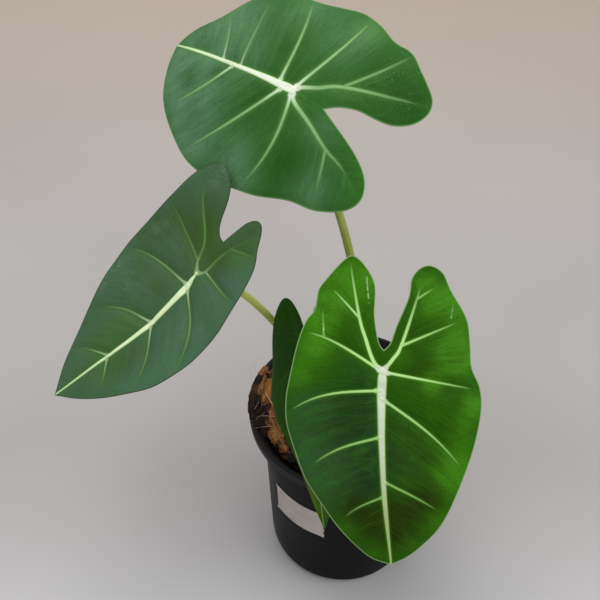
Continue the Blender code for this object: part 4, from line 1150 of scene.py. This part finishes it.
def make_fibres(finish):
    """Husk fibres: a + d s + bow (1 - s^2) sideways and lift (1 - s^2) upwards for s from -1 to 1. The first
    ones are those that the photo shows, each a parabola through its three points."""
    rng = np.random.default_rng(FIBRE_SEED)
    count = FIBRE_COUNT
    s = np.linspace(-1, 1, FIBRE_RINGS)[None, :, None]
    radius = np.sqrt(rng.uniform(FIBRE_RING[0] ** 2, FIBRE_RING[1] ** 2, count))
    angle, yaw = rng.uniform(0, TAU, count), rng.uniform(0, TAU, count)
    middle = about_axis(radius, angle, MIX_LEVEL + rng.uniform(0.2, 1.6, count))
    length = rng.uniform(4.0, 11.0, count) * np.clip((46.0 - radius) / 9.0, 0.35, 1.0)
    ahead = about_axis(1.0, yaw, np.zeros(count))
    aside = np.stack([-np.sin(yaw), np.cos(yaw), np.zeros(count)], -1)
    bow, lift = rng.normal(0, 2.0, count), rng.uniform(0.6, 2.4, count)
    dome = 1 - s ** 2
    paths = middle[:, None] + ahead[:, None] * length[:, None, None] * s
    paths = paths + aside[:, None] * bow[:, None, None] * dome
    paths[..., 2] += (lift[:, None] * dome[..., 0]) - 0.8
    thick = rng.uniform(0.06, 0.17, count)
    known = np.array([item[:3] for item in PLACED_FIBRES], float)
    t = (s + 1) / 2
    a, b, c = (known[:, None, i] for i in range(3))
    via = 2 * b - 0.5 * (a + c)
    paths[:len(known)] = a * (1 - t) ** 2 + 2 * via * t * (1 - t) + c * t ** 2
    thick[:len(known)] = [item[3] for item in PLACED_FIBRES]
    radii = thick[:, None] * (1.0 - 0.85 * np.abs(s[..., 0]) ** 5)
    upright = np.tile([0.0, 0.0, 1.0], (count, 1))
    points, triangles = tubes(pressed_in(paths), radii, FIBRE_SIDES, upright)
    shade = np.repeat(rng.uniform(0, 1, count), points.shape[1])
    shade[:len(known) * points.shape[1]] = 0.8
    thing = make_mesh("husk_fibres", points.reshape(-1, 3), triangles, [finish], marks={"shade": shade})
    return hand_in(thing, "coconut_mix")


def make_crown(finish):
    """The short stem, domed like a quarter ellipse and turned round: r = radius - rings of old leaf scars
    - fine ridges."""
    dome = np.radians(np.linspace(90.0, 0.0, 18))
    profile = [(CROWN_RADIUS * np.cos(a), CROWN_TOP - CROWN_DOME * (1.0 - np.sin(a))) for a in dome]
    profile[0] = (0.0, CROWN_TOP)
    profile += [(CROWN_RADIUS, z) for z in np.linspace(CROWN_TOP - CROWN_DOME - 1.0, CROWN_FOOT + 2.0, 26)]
    profile += [(CROWN_RADIUS - 2.0, CROWN_FOOT), (0.0, CROWN_FOOT)]
    grid = turn_round(profile, CROWN_SIDES)
    angle = np.linspace(0, TAU, CROWN_SIDES, endpoint=False)[None]
    z = grid[..., 2]
    scars = 0.35 * np.abs(np.sin(0.9 * (z + 0.9 * np.sin(angle * 2 + z * 0.2)))) ** 6
    ridges = 0.12 * np.sin(17 * angle + 0.4 * z)
    swell = scars + ridges * ease(CROWN_TOP - z, 1.0, 4.0)
    r = np.hypot(grid[..., 0], grid[..., 1])
    grid[..., :2] *= (1.0 - swell / np.maximum(r, 4.0))[..., None]
    points, triangles = closed_skin(grid.reshape(-1, 3), grid_triangles(*grid.shape[:2], True))
    thing = make_mesh("alocasia_crown", points, triangles, [finish])
    return hand_in(thing, "crown_skin", "alocasia_crown")


def make_sheaths(finish):
    """Dry papery sheaths hugging the crown: r = crown + lift over a patch whose height falls off as
    1 - 0.86 |side|^1.7, so that each ends in a blunt point."""
    rng = np.random.default_rng(SHEATH_SEED)
    u, v = np.meshgrid(np.linspace(-1, 1, 30), np.linspace(0, 1, 22), indexing="ij")
    count = u.size
    points, triangles, marks = [], [], []
    for number, (middle, spread, low, high, lift) in enumerate(SHEATHS):
        height = low + (high - low) * v * (1 - 0.86 * np.abs(u) ** 1.7)
        turn = np.radians(middle + spread * u * (1 - 0.35 * v))
        body = CROWN_RADIUS * np.sqrt(np.clip(1 - (np.clip(height - 109.0, 0, None) / 7.5) ** 2, 0.05, 1))
        r = np.maximum(body, SHEATH_REACH) + lift + 0.5 * v ** 2 + 0.15 * np.sin(9 * u + 4 * v + middle)
        both = np.vstack([about_axis(r + gap, turn, height).reshape(-1, 3) for gap in (SHEATH_THICK, 0.0)])
        one = outwards(both, closed_sheet(grid_triangles(*u.shape), count))
        points.append(both)
        triangles.append(2 * count * number + one)
        marks.append(np.full(2 * count, rng.uniform()))
    thing = make_mesh("crown_sheaths", np.vstack(points), np.vstack(triangles), [finish],
                      marks={"shade": np.concatenate(marks)})
    return hand_in(thing, "crown_skin")


# Finishes

class Finish:
    """A material with a Principled shader, and short calls that add nodes to it."""

    def __init__(self, name, roughness, **sockets):
        self.material = bpy.data.materials.new(name)
        self.material.use_nodes = True
        self.tree = self.material.node_tree
        self.shader = self.tree.nodes["Principled BSDF"]
        self.shader.inputs["Roughness"].default_value = roughness
        for key, value in sockets.items():
            self.shader.inputs[key.replace("_", " ")].default_value = value

    def put(self, kind, links, **settings):
        """Add a node, set its settings, and give each input a number or another node's output."""
        made = self.tree.nodes.new("ShaderNode" + kind)
        for key, value in settings.items():
            setattr(made, key, value)
        for place, source in links.items():
            if isinstance(source, bpy.types.NodeSocket):
                self.tree.links.new(source, made.inputs[place])
            else:
                made.inputs[place].default_value = source
        return made

    def mark(self, name, output="Fac"):
        return self.put("Attribute", {}, attribute_name=name).outputs[output]

    def place(self):
        return self.put("TexCoord", {}).outputs["Object"]

    def surface(self):
        return self.put("UVMap", {}, uv_map="surface").outputs["UV"]

    def stretched(self, vector, scale):
        return self.put("Mapping", {"Vector": vector, "Scale": scale}).outputs["Vector"]

    def noise(self, vector, scale, detail=3.0, rough=0.5, waver=0.0):
        return self.put("TexNoise", {"Vector": vector, "Scale": scale, "Detail": detail, "Roughness": rough,
                                     "Distortion": waver}).outputs["Fac"]

    def step(self, value, low, high, start=0.0, end=1.0):
        """A smooth step from start to end as the value goes from low to high."""
        return self.put("MapRange", {"Value": value, "From Min": low, "From Max": high, "To Min": start,
                                     "To Max": end}, interpolation_type="SMOOTHSTEP").outputs["Result"]

    def times(self, a, b):
        return self.put("Math", {0: a, 1: b}, operation="MULTIPLY").outputs[0]

    def plus(self, a, b):
        return self.put("Math", {0: a, 1: b}, operation="ADD").outputs[0]

    def most(self, a, b):
        return self.put("Math", {0: a, 1: b}, operation="MAXIMUM").outputs[0]

    def mix(self, share, a, b, mode="MIX"):
        """Mix two colours by a share."""
        a, b = ((*c, 1.0) if isinstance(c, tuple) else c for c in (a, b))
        return self.put("Mix", {0: share, 6: a, 7: b}, data_type="RGBA", blend_type=mode).outputs[2]

    def wash(self, colour, other, value, low, high, start=0.0, end=1.0):
        """Lay another colour over a colour, by a smooth step of a value."""
        return self.mix(self.step(value, low, high, start, end), colour, other)

    def colour(self, socket):
        self.tree.links.new(socket, self.shader.inputs["Base Color"])

    def rough(self, socket):
        self.tree.links.new(socket, self.shader.inputs["Roughness"])

    def bump(self, height, depth, before=None):
        """Raise the surface by a height from 0 to 1 times a depth in millimetres."""
        links = {"Height": height, "Distance": depth * MM, "Strength": 1.0}
        if before is not None:
            links["Normal"] = before
        made = self.put("Bump", links)
        self.tree.links.new(made.outputs["Normal"], self.shader.inputs["Normal"])
        return made.outputs["Normal"]


# Leaf colours as linear red, green, blue, then how far a vein's halo reaches and how soft its edge is in
# millimetres, how far from the junction the veins are white, how pale they start at the midrib ("start"),
# the colour of the weak ones, the share of streaks, sheen, specular level and the haze of dust
# Of these colours, cool is a painted sheen and dim a painted shade.
LEAF_LOOKS = {
    "front_leaf": {
        "main": (0.023, 0.122, 0.001), "pale": (0.058, 0.25, 0.006), "deep": (0.019, 0.037, 0.001),
        "painted_sheen": (0.037, 0.11, 0.034), "painted_shade": (0.012, 0.047, 0.011), "rib": (0.76, 0.82, 0.62),
        "rib_edge": (0.46, 0.66, 0.22), "rib_far": (0.4, 0.48, 0.19), "vein": (0.58, 0.92, 0.33),
        "weak": (0.48, 0.85, 0.25), "start": 0.0, "line": (0.38, 0.56, 0.25), "halo": (0.04, 0.19, 0.004),
        "halo_width": 1.4, "soft": 0.34, "white": 0.065, "streaks": 0.42, "sheen": 0.0, "gloss": 0.06,
        "haze": 0.0,
    },
    "top_leaf": {
        "main": (0.036, 0.15, 0.021), "pale": (0.085, 0.24, 0.045), "deep": (0.017, 0.092, 0.006),
        "painted_sheen": (0.15, 0.318, 0.172), "painted_shade": (0.022, 0.092, 0.014), "rib": (0.95, 1.0, 0.83),
        "rib_edge": (0.62, 0.9, 0.4), "rib_far": (0.76, 1.0, 0.6), "vein": (0.36, 0.62, 0.28),
        "weak": (0.33, 0.62, 0.23), "start": 0.9, "line": (0.22, 0.44, 0.14), "halo": (0.08, 0.23, 0.045),
        "halo_width": 2.2, "soft": 0.6, "white": 0.08, "streaks": 0.5, "sheen": 0.0, "gloss": 0.08,
        "haze": 0.03,
    },
    "left_leaf": {
        "main": (0.06, 0.139, 0.066), "pale": (0.056, 0.152, 0.034), "deep": (0.044, 0.1, 0.021),
        "painted_sheen": (0.072, 0.17, 0.097), "painted_shade": (0.05, 0.092, 0.014), "rib": (0.86, 1.0, 0.62),
        "rib_edge": (0.46, 0.68, 0.28), "rib_far": (0.84, 1.0, 0.62), "vein": (0.162, 0.295, 0.12),
        "weak": (0.13, 0.275, 0.055), "start": 0.32, "line": (0.036, 0.062, 0.024),
        "halo": (0.05, 0.135, 0.024), "halo_width": 3.0, "soft": 0.4, "white": 0.012, "streaks": 0.45,
        "sheen": 0.02, "gloss": 0.12, "haze": 0.22,
    },
    "side_leaf": {
        "main": (0.022, 0.092, 0.006), "pale": (0.11, 0.2, 0.012), "deep": (0.015, 0.07, 0.004),
        "painted_sheen": (0.024, 0.09, 0.012), "painted_shade": (0.012, 0.058, 0.003), "rib": (0.52, 0.68, 0.36),
        "rib_edge": (0.2, 0.36, 0.09), "rib_far": (0.26, 0.38, 0.1), "vein": (0.2, 0.36, 0.11),
        "weak": (0.085, 0.2, 0.035), "start": 0.0, "line": (0.04, 0.12, 0.015),
        "halo": (0.018, 0.08, 0.004), "halo_width": 1.2, "soft": 0.34, "white": 0.03, "streaks": 0.5,
        "sheen": 0.0, "gloss": 0.04, "haze": 0.0,
    },
}


def upper_finish(name):
    """The leaf's face: tones by soft spots and slow noise, among them a painted sheen and a painted shade,
    wavy streaks along the veins, blotches and grain, a halo, paler veins that whiten at the junction, pale
    ribs with a greener edge, a line at the margin, scars and dust."""
    look = LEAF_LOOKS[name]
    main, pale, deep = look["main"], look["pale"], look["deep"]
    finish = Finish(f"{name}_upper", 0.5, Sheen_Weight=look["sheen"], Sheen_Roughness=0.4,
                    Specular_IOR_Level=look["gloss"])
    surface, place = finish.surface(), finish.place()
    slow = finish.noise(place, 42.0, 3.0)
    blotch = finish.noise(place, 95.0, 5.0, 0.65, 0.8)
    streak = finish.noise(finish.stretched(surface, (2.6, 34.0, 1.0)), 1.0, 4.0, 0.62, 0.9)
    lines = finish.noise(finish.stretched(surface, (7.0, 95.0, 1.0)), 1.0, 3.0, 0.6, 1.4)
    broad = finish.noise(finish.stretched(surface, (2.0, 12.0, 1.0)), 1.0, 3.0)
    fine = finish.noise(place, 900.0, 2.0)
    pale_share = finish.step(finish.plus(finish.mark("pale"), finish.times(slow, 0.35)), 0.20, 1.00)
    colour = finish.mix(pale_share, main, pale)
    # Painted sheen: the cool spots turn the colour greyer and bluer where the velvet face would catch the
    # sky.
    painted_sheen_share = finish.times(finish.mark("painted_sheen"), finish.step(finish.plus(streak, broad), 0.70, 1.20, 0.45))
    colour = finish.mix(painted_sheen_share, colour, look["painted_sheen"])
    deep_share = finish.times(finish.mark("deep"), finish.step(finish.plus(slow, streak), 0.40, 1.10, 0.45))
    colour = finish.mix(deep_share, colour, deep)
    # Painted shade: the dim spots darken the colour on the shaded sides of the quilting, beside the veins.
    painted_shade_share = finish.times(finish.mark("painted_shade"), finish.step(finish.plus(broad, streak), 0.60, 1.25, 0.6))
    colour = finish.mix(painted_shade_share, colour, look["painted_shade"])
    streaked = finish.wash(colour, deep, streak, 0.36, 0.68, 0.0, look["streaks"])
    streaked = finish.wash(streaked, deep, lines, 0.52, 0.70, 0.0, 0.9 * look["streaks"])
    streaked = finish.wash(streaked, pale, lines, 0.46, 0.32, 0.0, 0.5 * look["streaks"])
    colour = finish.wash(colour, streaked, finish.mark("margin"), 1.0, 14.0, 0.4, 0.9)
    colour = finish.wash(colour, deep, blotch, 0.48, 0.68, 0.0, 0.20)
    colour = finish.wash(colour, pale, blotch, 0.46, 0.30, 0.0, 0.16)
    colour = finish.wash(colour, deep, fine, 0.50, 0.68, 0.0, 0.20)
    force = finish.mark("force")
    halo = finish.times(force, finish.step(finish.mark("vein"), 0.0, look["halo_width"], 0.6, 0.0))
    colour = finish.mix(halo, colour, look["halo"])
    colour = finish.wash(colour, look["halo"], finish.mark("rib"), 0.0, look["halo_width"], 0.5, 0.0)
    colour = finish.wash(colour, look["rib_edge"], finish.mark("rib"), -0.25, 0.35, 1.0, 0.0)
    vein = finish.wash(look["weak"], look["vein"], force, 0.70, 1.10)
    vein = finish.wash(vein, look["rib_far"], finish.mark("rib"), 0.5, 9.0, look["start"], 0.0)
    vein = finish.wash(look["rib"], vein, finish.mark("reach"), 0.2 * look["white"], look["white"])
    drawn = finish.times(force, finish.step(finish.mark("vein"), -0.22, look["soft"], 1.0, 0.0))
    colour = finish.mix(drawn, colour, vein)
    rib = finish.wash(look["rib"], look["rib_far"], finish.mark("reach"), 0.25, 0.95)
    mottled = finish.wash(rib, look["rib_edge"], finish.noise(place, 160.0, 2.0), 0.4, 0.7, 0.0, 0.16)
    colour = finish.wash(colour, mottled, finish.mark("rib"), -0.70, 0.05, 1.0, 0.0)
    colour = finish.wash(colour, look["line"], finish.mark("margin"), 0.05, 0.62, 0.8, 0.0)
    dash = finish.step(finish.noise(place, 420.0, 1.0), 0.42, 0.56)
    scar = finish.times(finish.step(finish.mark("scar"), 0.10, 0.42, 1.0, 0.0), dash)
    colour = finish.mix(finish.times(scar, 0.8), colour, (0.55, 0.76, 0.40))
    specks = finish.step(finish.noise(place, 1500.0, 1.0), 0.66, 0.72)
    dusty = finish.times(finish.times(specks, finish.mark("dust")), 0.5)
    film = finish.step(finish.noise(place, 90.0, 4.0), 0.45, 0.8, 0.0, look["haze"])
    haze = finish.times(finish.mark("dust"), film)
    colour = finish.mix(finish.most(dusty, haze), colour, (0.36, 0.46, 0.38))
    finish.colour(colour)
    finish.rough(finish.step(finish.plus(streak, finish.times(fine, 0.5)), 0.35, 1.1, 0.44, 0.60))
    first = finish.bump(finish.plus(streak, finish.times(blotch, 0.8)), 0.12)
    finish.bump(fine, 0.02, first)
    return finish.material


def under_finish(name):
    """The leaf's back: paler and matt, with the ribs and veins a lighter green."""
    look = LEAF_LOOKS[name]
    # The back's colour takes half of the painted sheen colour.
    back = tuple(0.5 * a + 0.5 * b + 0.04 for a, b in zip(look["pale"], look["painted_sheen"]))
    finish = Finish(f"{name}_under", 0.6, Sheen_Weight=0.08, Sheen_Roughness=0.5, Specular_IOR_Level=0.3)
    place = finish.place()
    slow, fine = finish.noise(place, 60.0, 4.0), finish.noise(place, 1100.0, 2.0)
    streak = finish.noise(finish.stretched(finish.surface(), (2.2, 50.0, 1.0)), 1.0, 3.0)
    colour = finish.wash(back, tuple(0.72 * c for c in back), slow, 0.35, 0.7)
    colour = finish.wash(colour, tuple(0.6 * c for c in back), streak, 0.4, 0.8, 0.0, 0.3)
    colour = finish.wash(colour, (0.22, 0.36, 0.12), finish.mark("vein"), -0.1, 0.7, 0.8, 0.0)
    colour = finish.wash(colour, (0.30, 0.42, 0.15), finish.mark("rib"), -0.1, 0.8, 0.9, 0.0)
    colour = finish.wash(colour, (0.25, 0.36, 0.13), finish.mark("margin"), 0.15, 0.8, 0.6, 0.0)
    finish.colour(colour)
    finish.bump(finish.plus(finish.times(streak, 0.6), finish.times(fine, 0.4)), 0.08)
    return finish.material


def stalk_finish():
    """Olive green with fine brown flecks, a lighter streak along it, a browner foot, and painted light: a
    much lighter green on a stalk marked as lit.
    """
    finish = Finish("petiole_skin", 0.42, Sheen_Weight=0.05)
    surface, place = finish.surface(), finish.place()
    streak = finish.noise(finish.stretched(surface, (16.0, 4.0, 1.0)), 1.0, 3.0)
    flecks = finish.noise(finish.stretched(surface, (34.0, 95.0, 1.0)), 1.0, 3.0)
    slow = finish.noise(place, 55.0, 2.0)
    streaked = finish.wash((0.30, 0.36, 0.045), (0.40, 0.46, 0.085), streak, 0.35, 0.65)
    # Painted light: a stalk marked as lit turns a much lighter green.
    colour = finish.mix(finish.mark("lit"), streaked, (0.70, 0.78, 0.16))
    colour = finish.wash(colour, (0.27, 0.36, 0.035), slow, 0.4, 0.7, 0.0, 0.5)
    colour = finish.wash(colour, (0.22, 0.16, 0.04), flecks, 0.60, 0.72, 0.0, 0.35)
    colour = finish.wash(colour, (0.30, 0.20, 0.09), finish.mark("way"), 0.0, 0.22, 0.6, 0.0)
    colour = finish.wash(colour, (0.38, 0.52, 0.18), finish.mark("way"), 0.93, 1.0, 0.0, 0.5)
    finish.colour(colour)
    finish.bump(streak, 0.12)
    return finish.material


def pot_finish():
    """Black moulded plastic: near black, a faint cloudiness, dust low down, scuffs, fine grain, and a painted
    highlight on the rim.
    """
    finish = Finish("black_nursery_plastic", 0.4, Specular_IOR_Level=0.052)
    place = finish.place()
    cloud = finish.noise(place, 30.0, 4.0)
    grain = finish.noise(place, 1500.0, 2.0)
    scuff = finish.noise(finish.stretched(place, (60.0, 60.0, 900.0)), 1.0, 2.0)
    colour = finish.wash((0.0016, 0.0015, 0.0015), (0.0036, 0.0034, 0.0032), cloud, 0.35, 0.7)
    height = finish.put("SeparateXYZ", {0: place}).outputs["Z"]
    # Painted highlight: the rim and lip are made a lighter grey that stands in for the sky's reflection on
    # them.
    painted_rim_highlight = finish.step(height, 0.1085, 0.1145)
    colour = finish.mix(painted_rim_highlight, colour, (0.026, 0.025, 0.024))
    low_dust = finish.times(finish.step(height, 0.0, 0.030, 0.5, 0.0), finish.step(cloud, 0.4, 0.75))
    colour = finish.mix(low_dust, colour, (0.018, 0.016, 0.014))
    colour = finish.wash(colour, (0.035, 0.035, 0.037), scuff, 0.66, 0.74, 0.0, 0.20)
    finish.colour(colour)
    finish.rough(finish.step(finish.plus(cloud, finish.times(scuff, 0.4)), 0.3, 1.0, 0.30, 0.44))
    finish.bump(grain, 0.02, finish.bump(cloud, 0.08))
    return finish.material


def label_finish():
    """Greige paper tape: soft mottling, short fibres, a slightly darker torn edge and tiny dirt specks."""
    finish = Finish("paper_tape", 0.72)
    surface, place = finish.surface(), finish.place()
    cloud = finish.noise(place, 110.0, 4.0)
    fibre = finish.noise(finish.stretched(surface, (60.0, 320.0, 1.0)), 1.0, 3.0)
    speck = finish.noise(place, 620.0, 1.0)
    colour = finish.wash((0.56, 0.49, 0.435), (0.48, 0.415, 0.365), cloud, 0.35, 0.68)
    colour = finish.wash(colour, (0.66, 0.60, 0.55), fibre, 0.5, 0.72, 0.0, 0.35)
    colour = finish.wash(colour, (0.16, 0.13, 0.10), speck, 0.70, 0.76, 0.0, 0.5)
    colour = finish.wash(colour, (0.24, 0.20, 0.17), finish.mark("rim"), 0.1, 0.9, 0.35, 0.0)
    finish.colour(colour)
    finish.bump(finish.plus(finish.times(fibre, 0.6), finish.times(cloud, 0.4)), 0.09)
    return finish.material


def husk_finish():
    """Coconut husk: each chip its own shade from near black to orange brown, with grain along its length."""
    finish = Finish("coconut_husk", 0.86, Specular_IOR_Level=0.25)
    grain = finish.mark("grain", "Vector")
    lines = finish.noise(finish.stretched(grain, (0.10, 1.9, 1.9)), 1.0, 4.0, 0.65)
    patch = finish.noise(grain, 0.28, 3.0)
    shade = finish.mark("shade")
    colour = finish.wash((0.024, 0.013, 0.008), (0.150, 0.062, 0.022), shade, 0.25, 0.55)
    colour = finish.wash(colour, (0.500, 0.215, 0.062), shade, 0.55, 0.85)
    colour = finish.wash(colour, (0.016, 0.009, 0.005), lines, 0.42, 0.66, 0.0, 0.75)
    lit = finish.times(finish.step(lines, 0.30, 0.42, 1.0, 0.0), finish.step(shade, 0.3, 0.9, 0.1, 0.65))
    colour = finish.mix(lit, colour, (0.62, 0.36, 0.15))
    colour = finish.wash(colour, (0.05, 0.025, 0.012), patch, 0.5, 0.75, 0.0, 0.45)
    finish.colour(colour)
    finish.bump(lines, 0.45)
    return finish.material


def mix_finish():
    """The fine dark stuff between the chips."""
    finish = Finish("coir_crumb", 0.95, Specular_IOR_Level=0.15)
    place = finish.place()
    crumb, cloud = finish.noise(place, 480.0, 4.0, 0.7), finish.noise(place, 90.0, 3.0)
    colour = finish.wash((0.010, 0.006, 0.004), (0.080, 0.036, 0.016), crumb, 0.38, 0.66)
    colour = finish.wash(colour, (0.030, 0.016, 0.009), cloud, 0.45, 0.7, 0.0, 0.6)
    finish.colour(colour)
    finish.bump(crumb, 1.0)
    return finish.material


def fibre_finish():
    """Fibres from red brown to pale tan, each its own shade."""
    finish = Finish("coir_fibre", 0.7, Specular_IOR_Level=0.3)
    colour = finish.wash((0.16, 0.065, 0.022), (0.66, 0.45, 0.26), finish.mark("shade"), 0.1, 0.9)
    flecks = finish.noise(finish.place(), 700.0, 2.0)
    finish.colour(finish.wash(colour, (0.18, 0.09, 0.04), flecks, 0.45, 0.7, 0.0, 0.4))
    return finish.material


def crown_finish():
    """Green brown skin with darker scars."""
    finish = Finish("crown_bark", 0.7)
    place = finish.place()
    bark = finish.noise(place, 160.0, 4.0)
    rings = finish.noise(finish.stretched(place, (90.0, 90.0, 600.0)), 1.0, 3.0)
    colour = finish.wash((0.13, 0.115, 0.035), (0.085, 0.055, 0.022), bark, 0.35, 0.65)
    colour = finish.wash(colour, (0.035, 0.020, 0.010), rings, 0.5, 0.68, 0.0, 0.6)
    finish.colour(colour)
    finish.bump(rings, 0.3, finish.bump(bark, 0.3))
    return finish.material


def sheath_finish():
    """Dry papery brown, streaked up its length."""
    finish = Finish("dry_sheath", 0.65, Sheen_Weight=0.1)
    place = finish.place()
    lines = finish.noise(finish.stretched(place, (900.0, 900.0, 60.0)), 1.0, 3.0)
    colour = finish.wash((0.20, 0.115, 0.050), (0.38, 0.26, 0.14), lines, 0.35, 0.65)
    colour = finish.wash(colour, (0.12, 0.07, 0.03), finish.mark("shade"), 0.2, 0.9, 0.0, 0.4)
    finish.colour(colour)
    finish.bump(lines, 0.2)
    return finish.material


# Stage

def make_stage():
    """A pale floor that runs well past the view: faint clouds, warmer towards the back, and painted light
    that makes it paler towards the front.
    """
    side, back = STAGE_SIDE, STAGE_BACK
    points = np.array([(-side, -side, STAGE_LEVEL), (side, -side, STAGE_LEVEL), (side, back, STAGE_LEVEL),
                       (-side, back, STAGE_LEVEL)])
    finish = Finish("pale_floor", 0.75)
    place = finish.place()
    cloud = finish.noise(place, 3.0, 2.0)
    depth = finish.put("SeparateXYZ", {0: place}).outputs["Y"]
    colour = finish.wash((0.46, 0.435, 0.415), (0.53, 0.505, 0.485), cloud, 0.3, 0.7)
    colour = finish.wash(colour, (0.60, 0.490, 0.395), depth, 0.15, 0.9)
    # Painted light: paler and brighter towards the front, where the lamps behind leave the floor in shade.
    finish.colour(finish.wash(colour, (0.74, 0.73, 0.735), depth, -0.18, 0.06, 1.0, 0.0))
    floor = make_mesh("floor", points, np.array([(0, 1, 2), (0, 2, 3)]), [finish.material])


def add_area(name, place, aim, size, energy, colour):
    """A round soft lamp that stands at a place and shines at an aim, both in metres."""
    lamp = bpy.data.lights.new(name, "AREA")
    lamp.shape = "DISK"
    lamp.size = size
    lamp.energy = energy
    lamp.color = colour
    thing = add_object(name, lamp)
    thing.location = place
    thing.rotation_euler = (Vector(aim) - Vector(place)).to_track_quat("-Z", "Y").to_euler()


def make_lights():
    """One large soft light from behind the left, a weaker one from the front right, and a pale sky."""
    add_area("key", (-0.30, 0.35, 1.30), (0.0, 0.0, 0.15), 1.3, 9.0, (1.0, 0.98, 0.96))
    add_area("fill", (0.85, -0.35, 0.95), (0.0, 0.0, 0.15), 1.1, 5.5, (1.0, 0.99, 0.98))
    world = bpy.data.worlds.new("pale_sky")
    world.use_nodes = True
    sky = world.node_tree.nodes["Background"]
    sky.inputs["Color"].default_value = (0.90, 0.93, 1.0, 1.0)
    sky.inputs["Strength"].default_value = 0.44
    bpy.context.scene.world = world
    bpy.context.scene.view_settings.view_transform = "Standard"


def make_camera():
    """The camera, fitted to the pot's rim, body and base in the photo."""
    lens = bpy.data.cameras.new("camera")
    lens.lens = CAMERA_LENS
    lens.sensor_width = CAMERA_SENSOR
    lens.clip_start = 0.01
    thing = add_object("camera", lens)
    thing.location = CAMERA_PLACE
    thing.rotation_euler = np.radians(CAMERA_TURN)
    bpy.context.scene.camera = thing


def main():
    make_camera()
    make_stage()
    make_lights()
    make_pot(pot_finish())
    make_label(label_finish())
    make_mix(mix_finish())
    make_chips(husk_finish())
    make_fibres(fibre_finish())
    make_crown(crown_finish())
    make_sheaths(sheath_finish())
    stalk_skin = stalk_finish()
    for name, leaf in LEAVES.items():
        make_blade(name, leaf, [upper_finish(name), under_finish(name)])
        make_stalk(name, leaf, stalk_skin)


main()
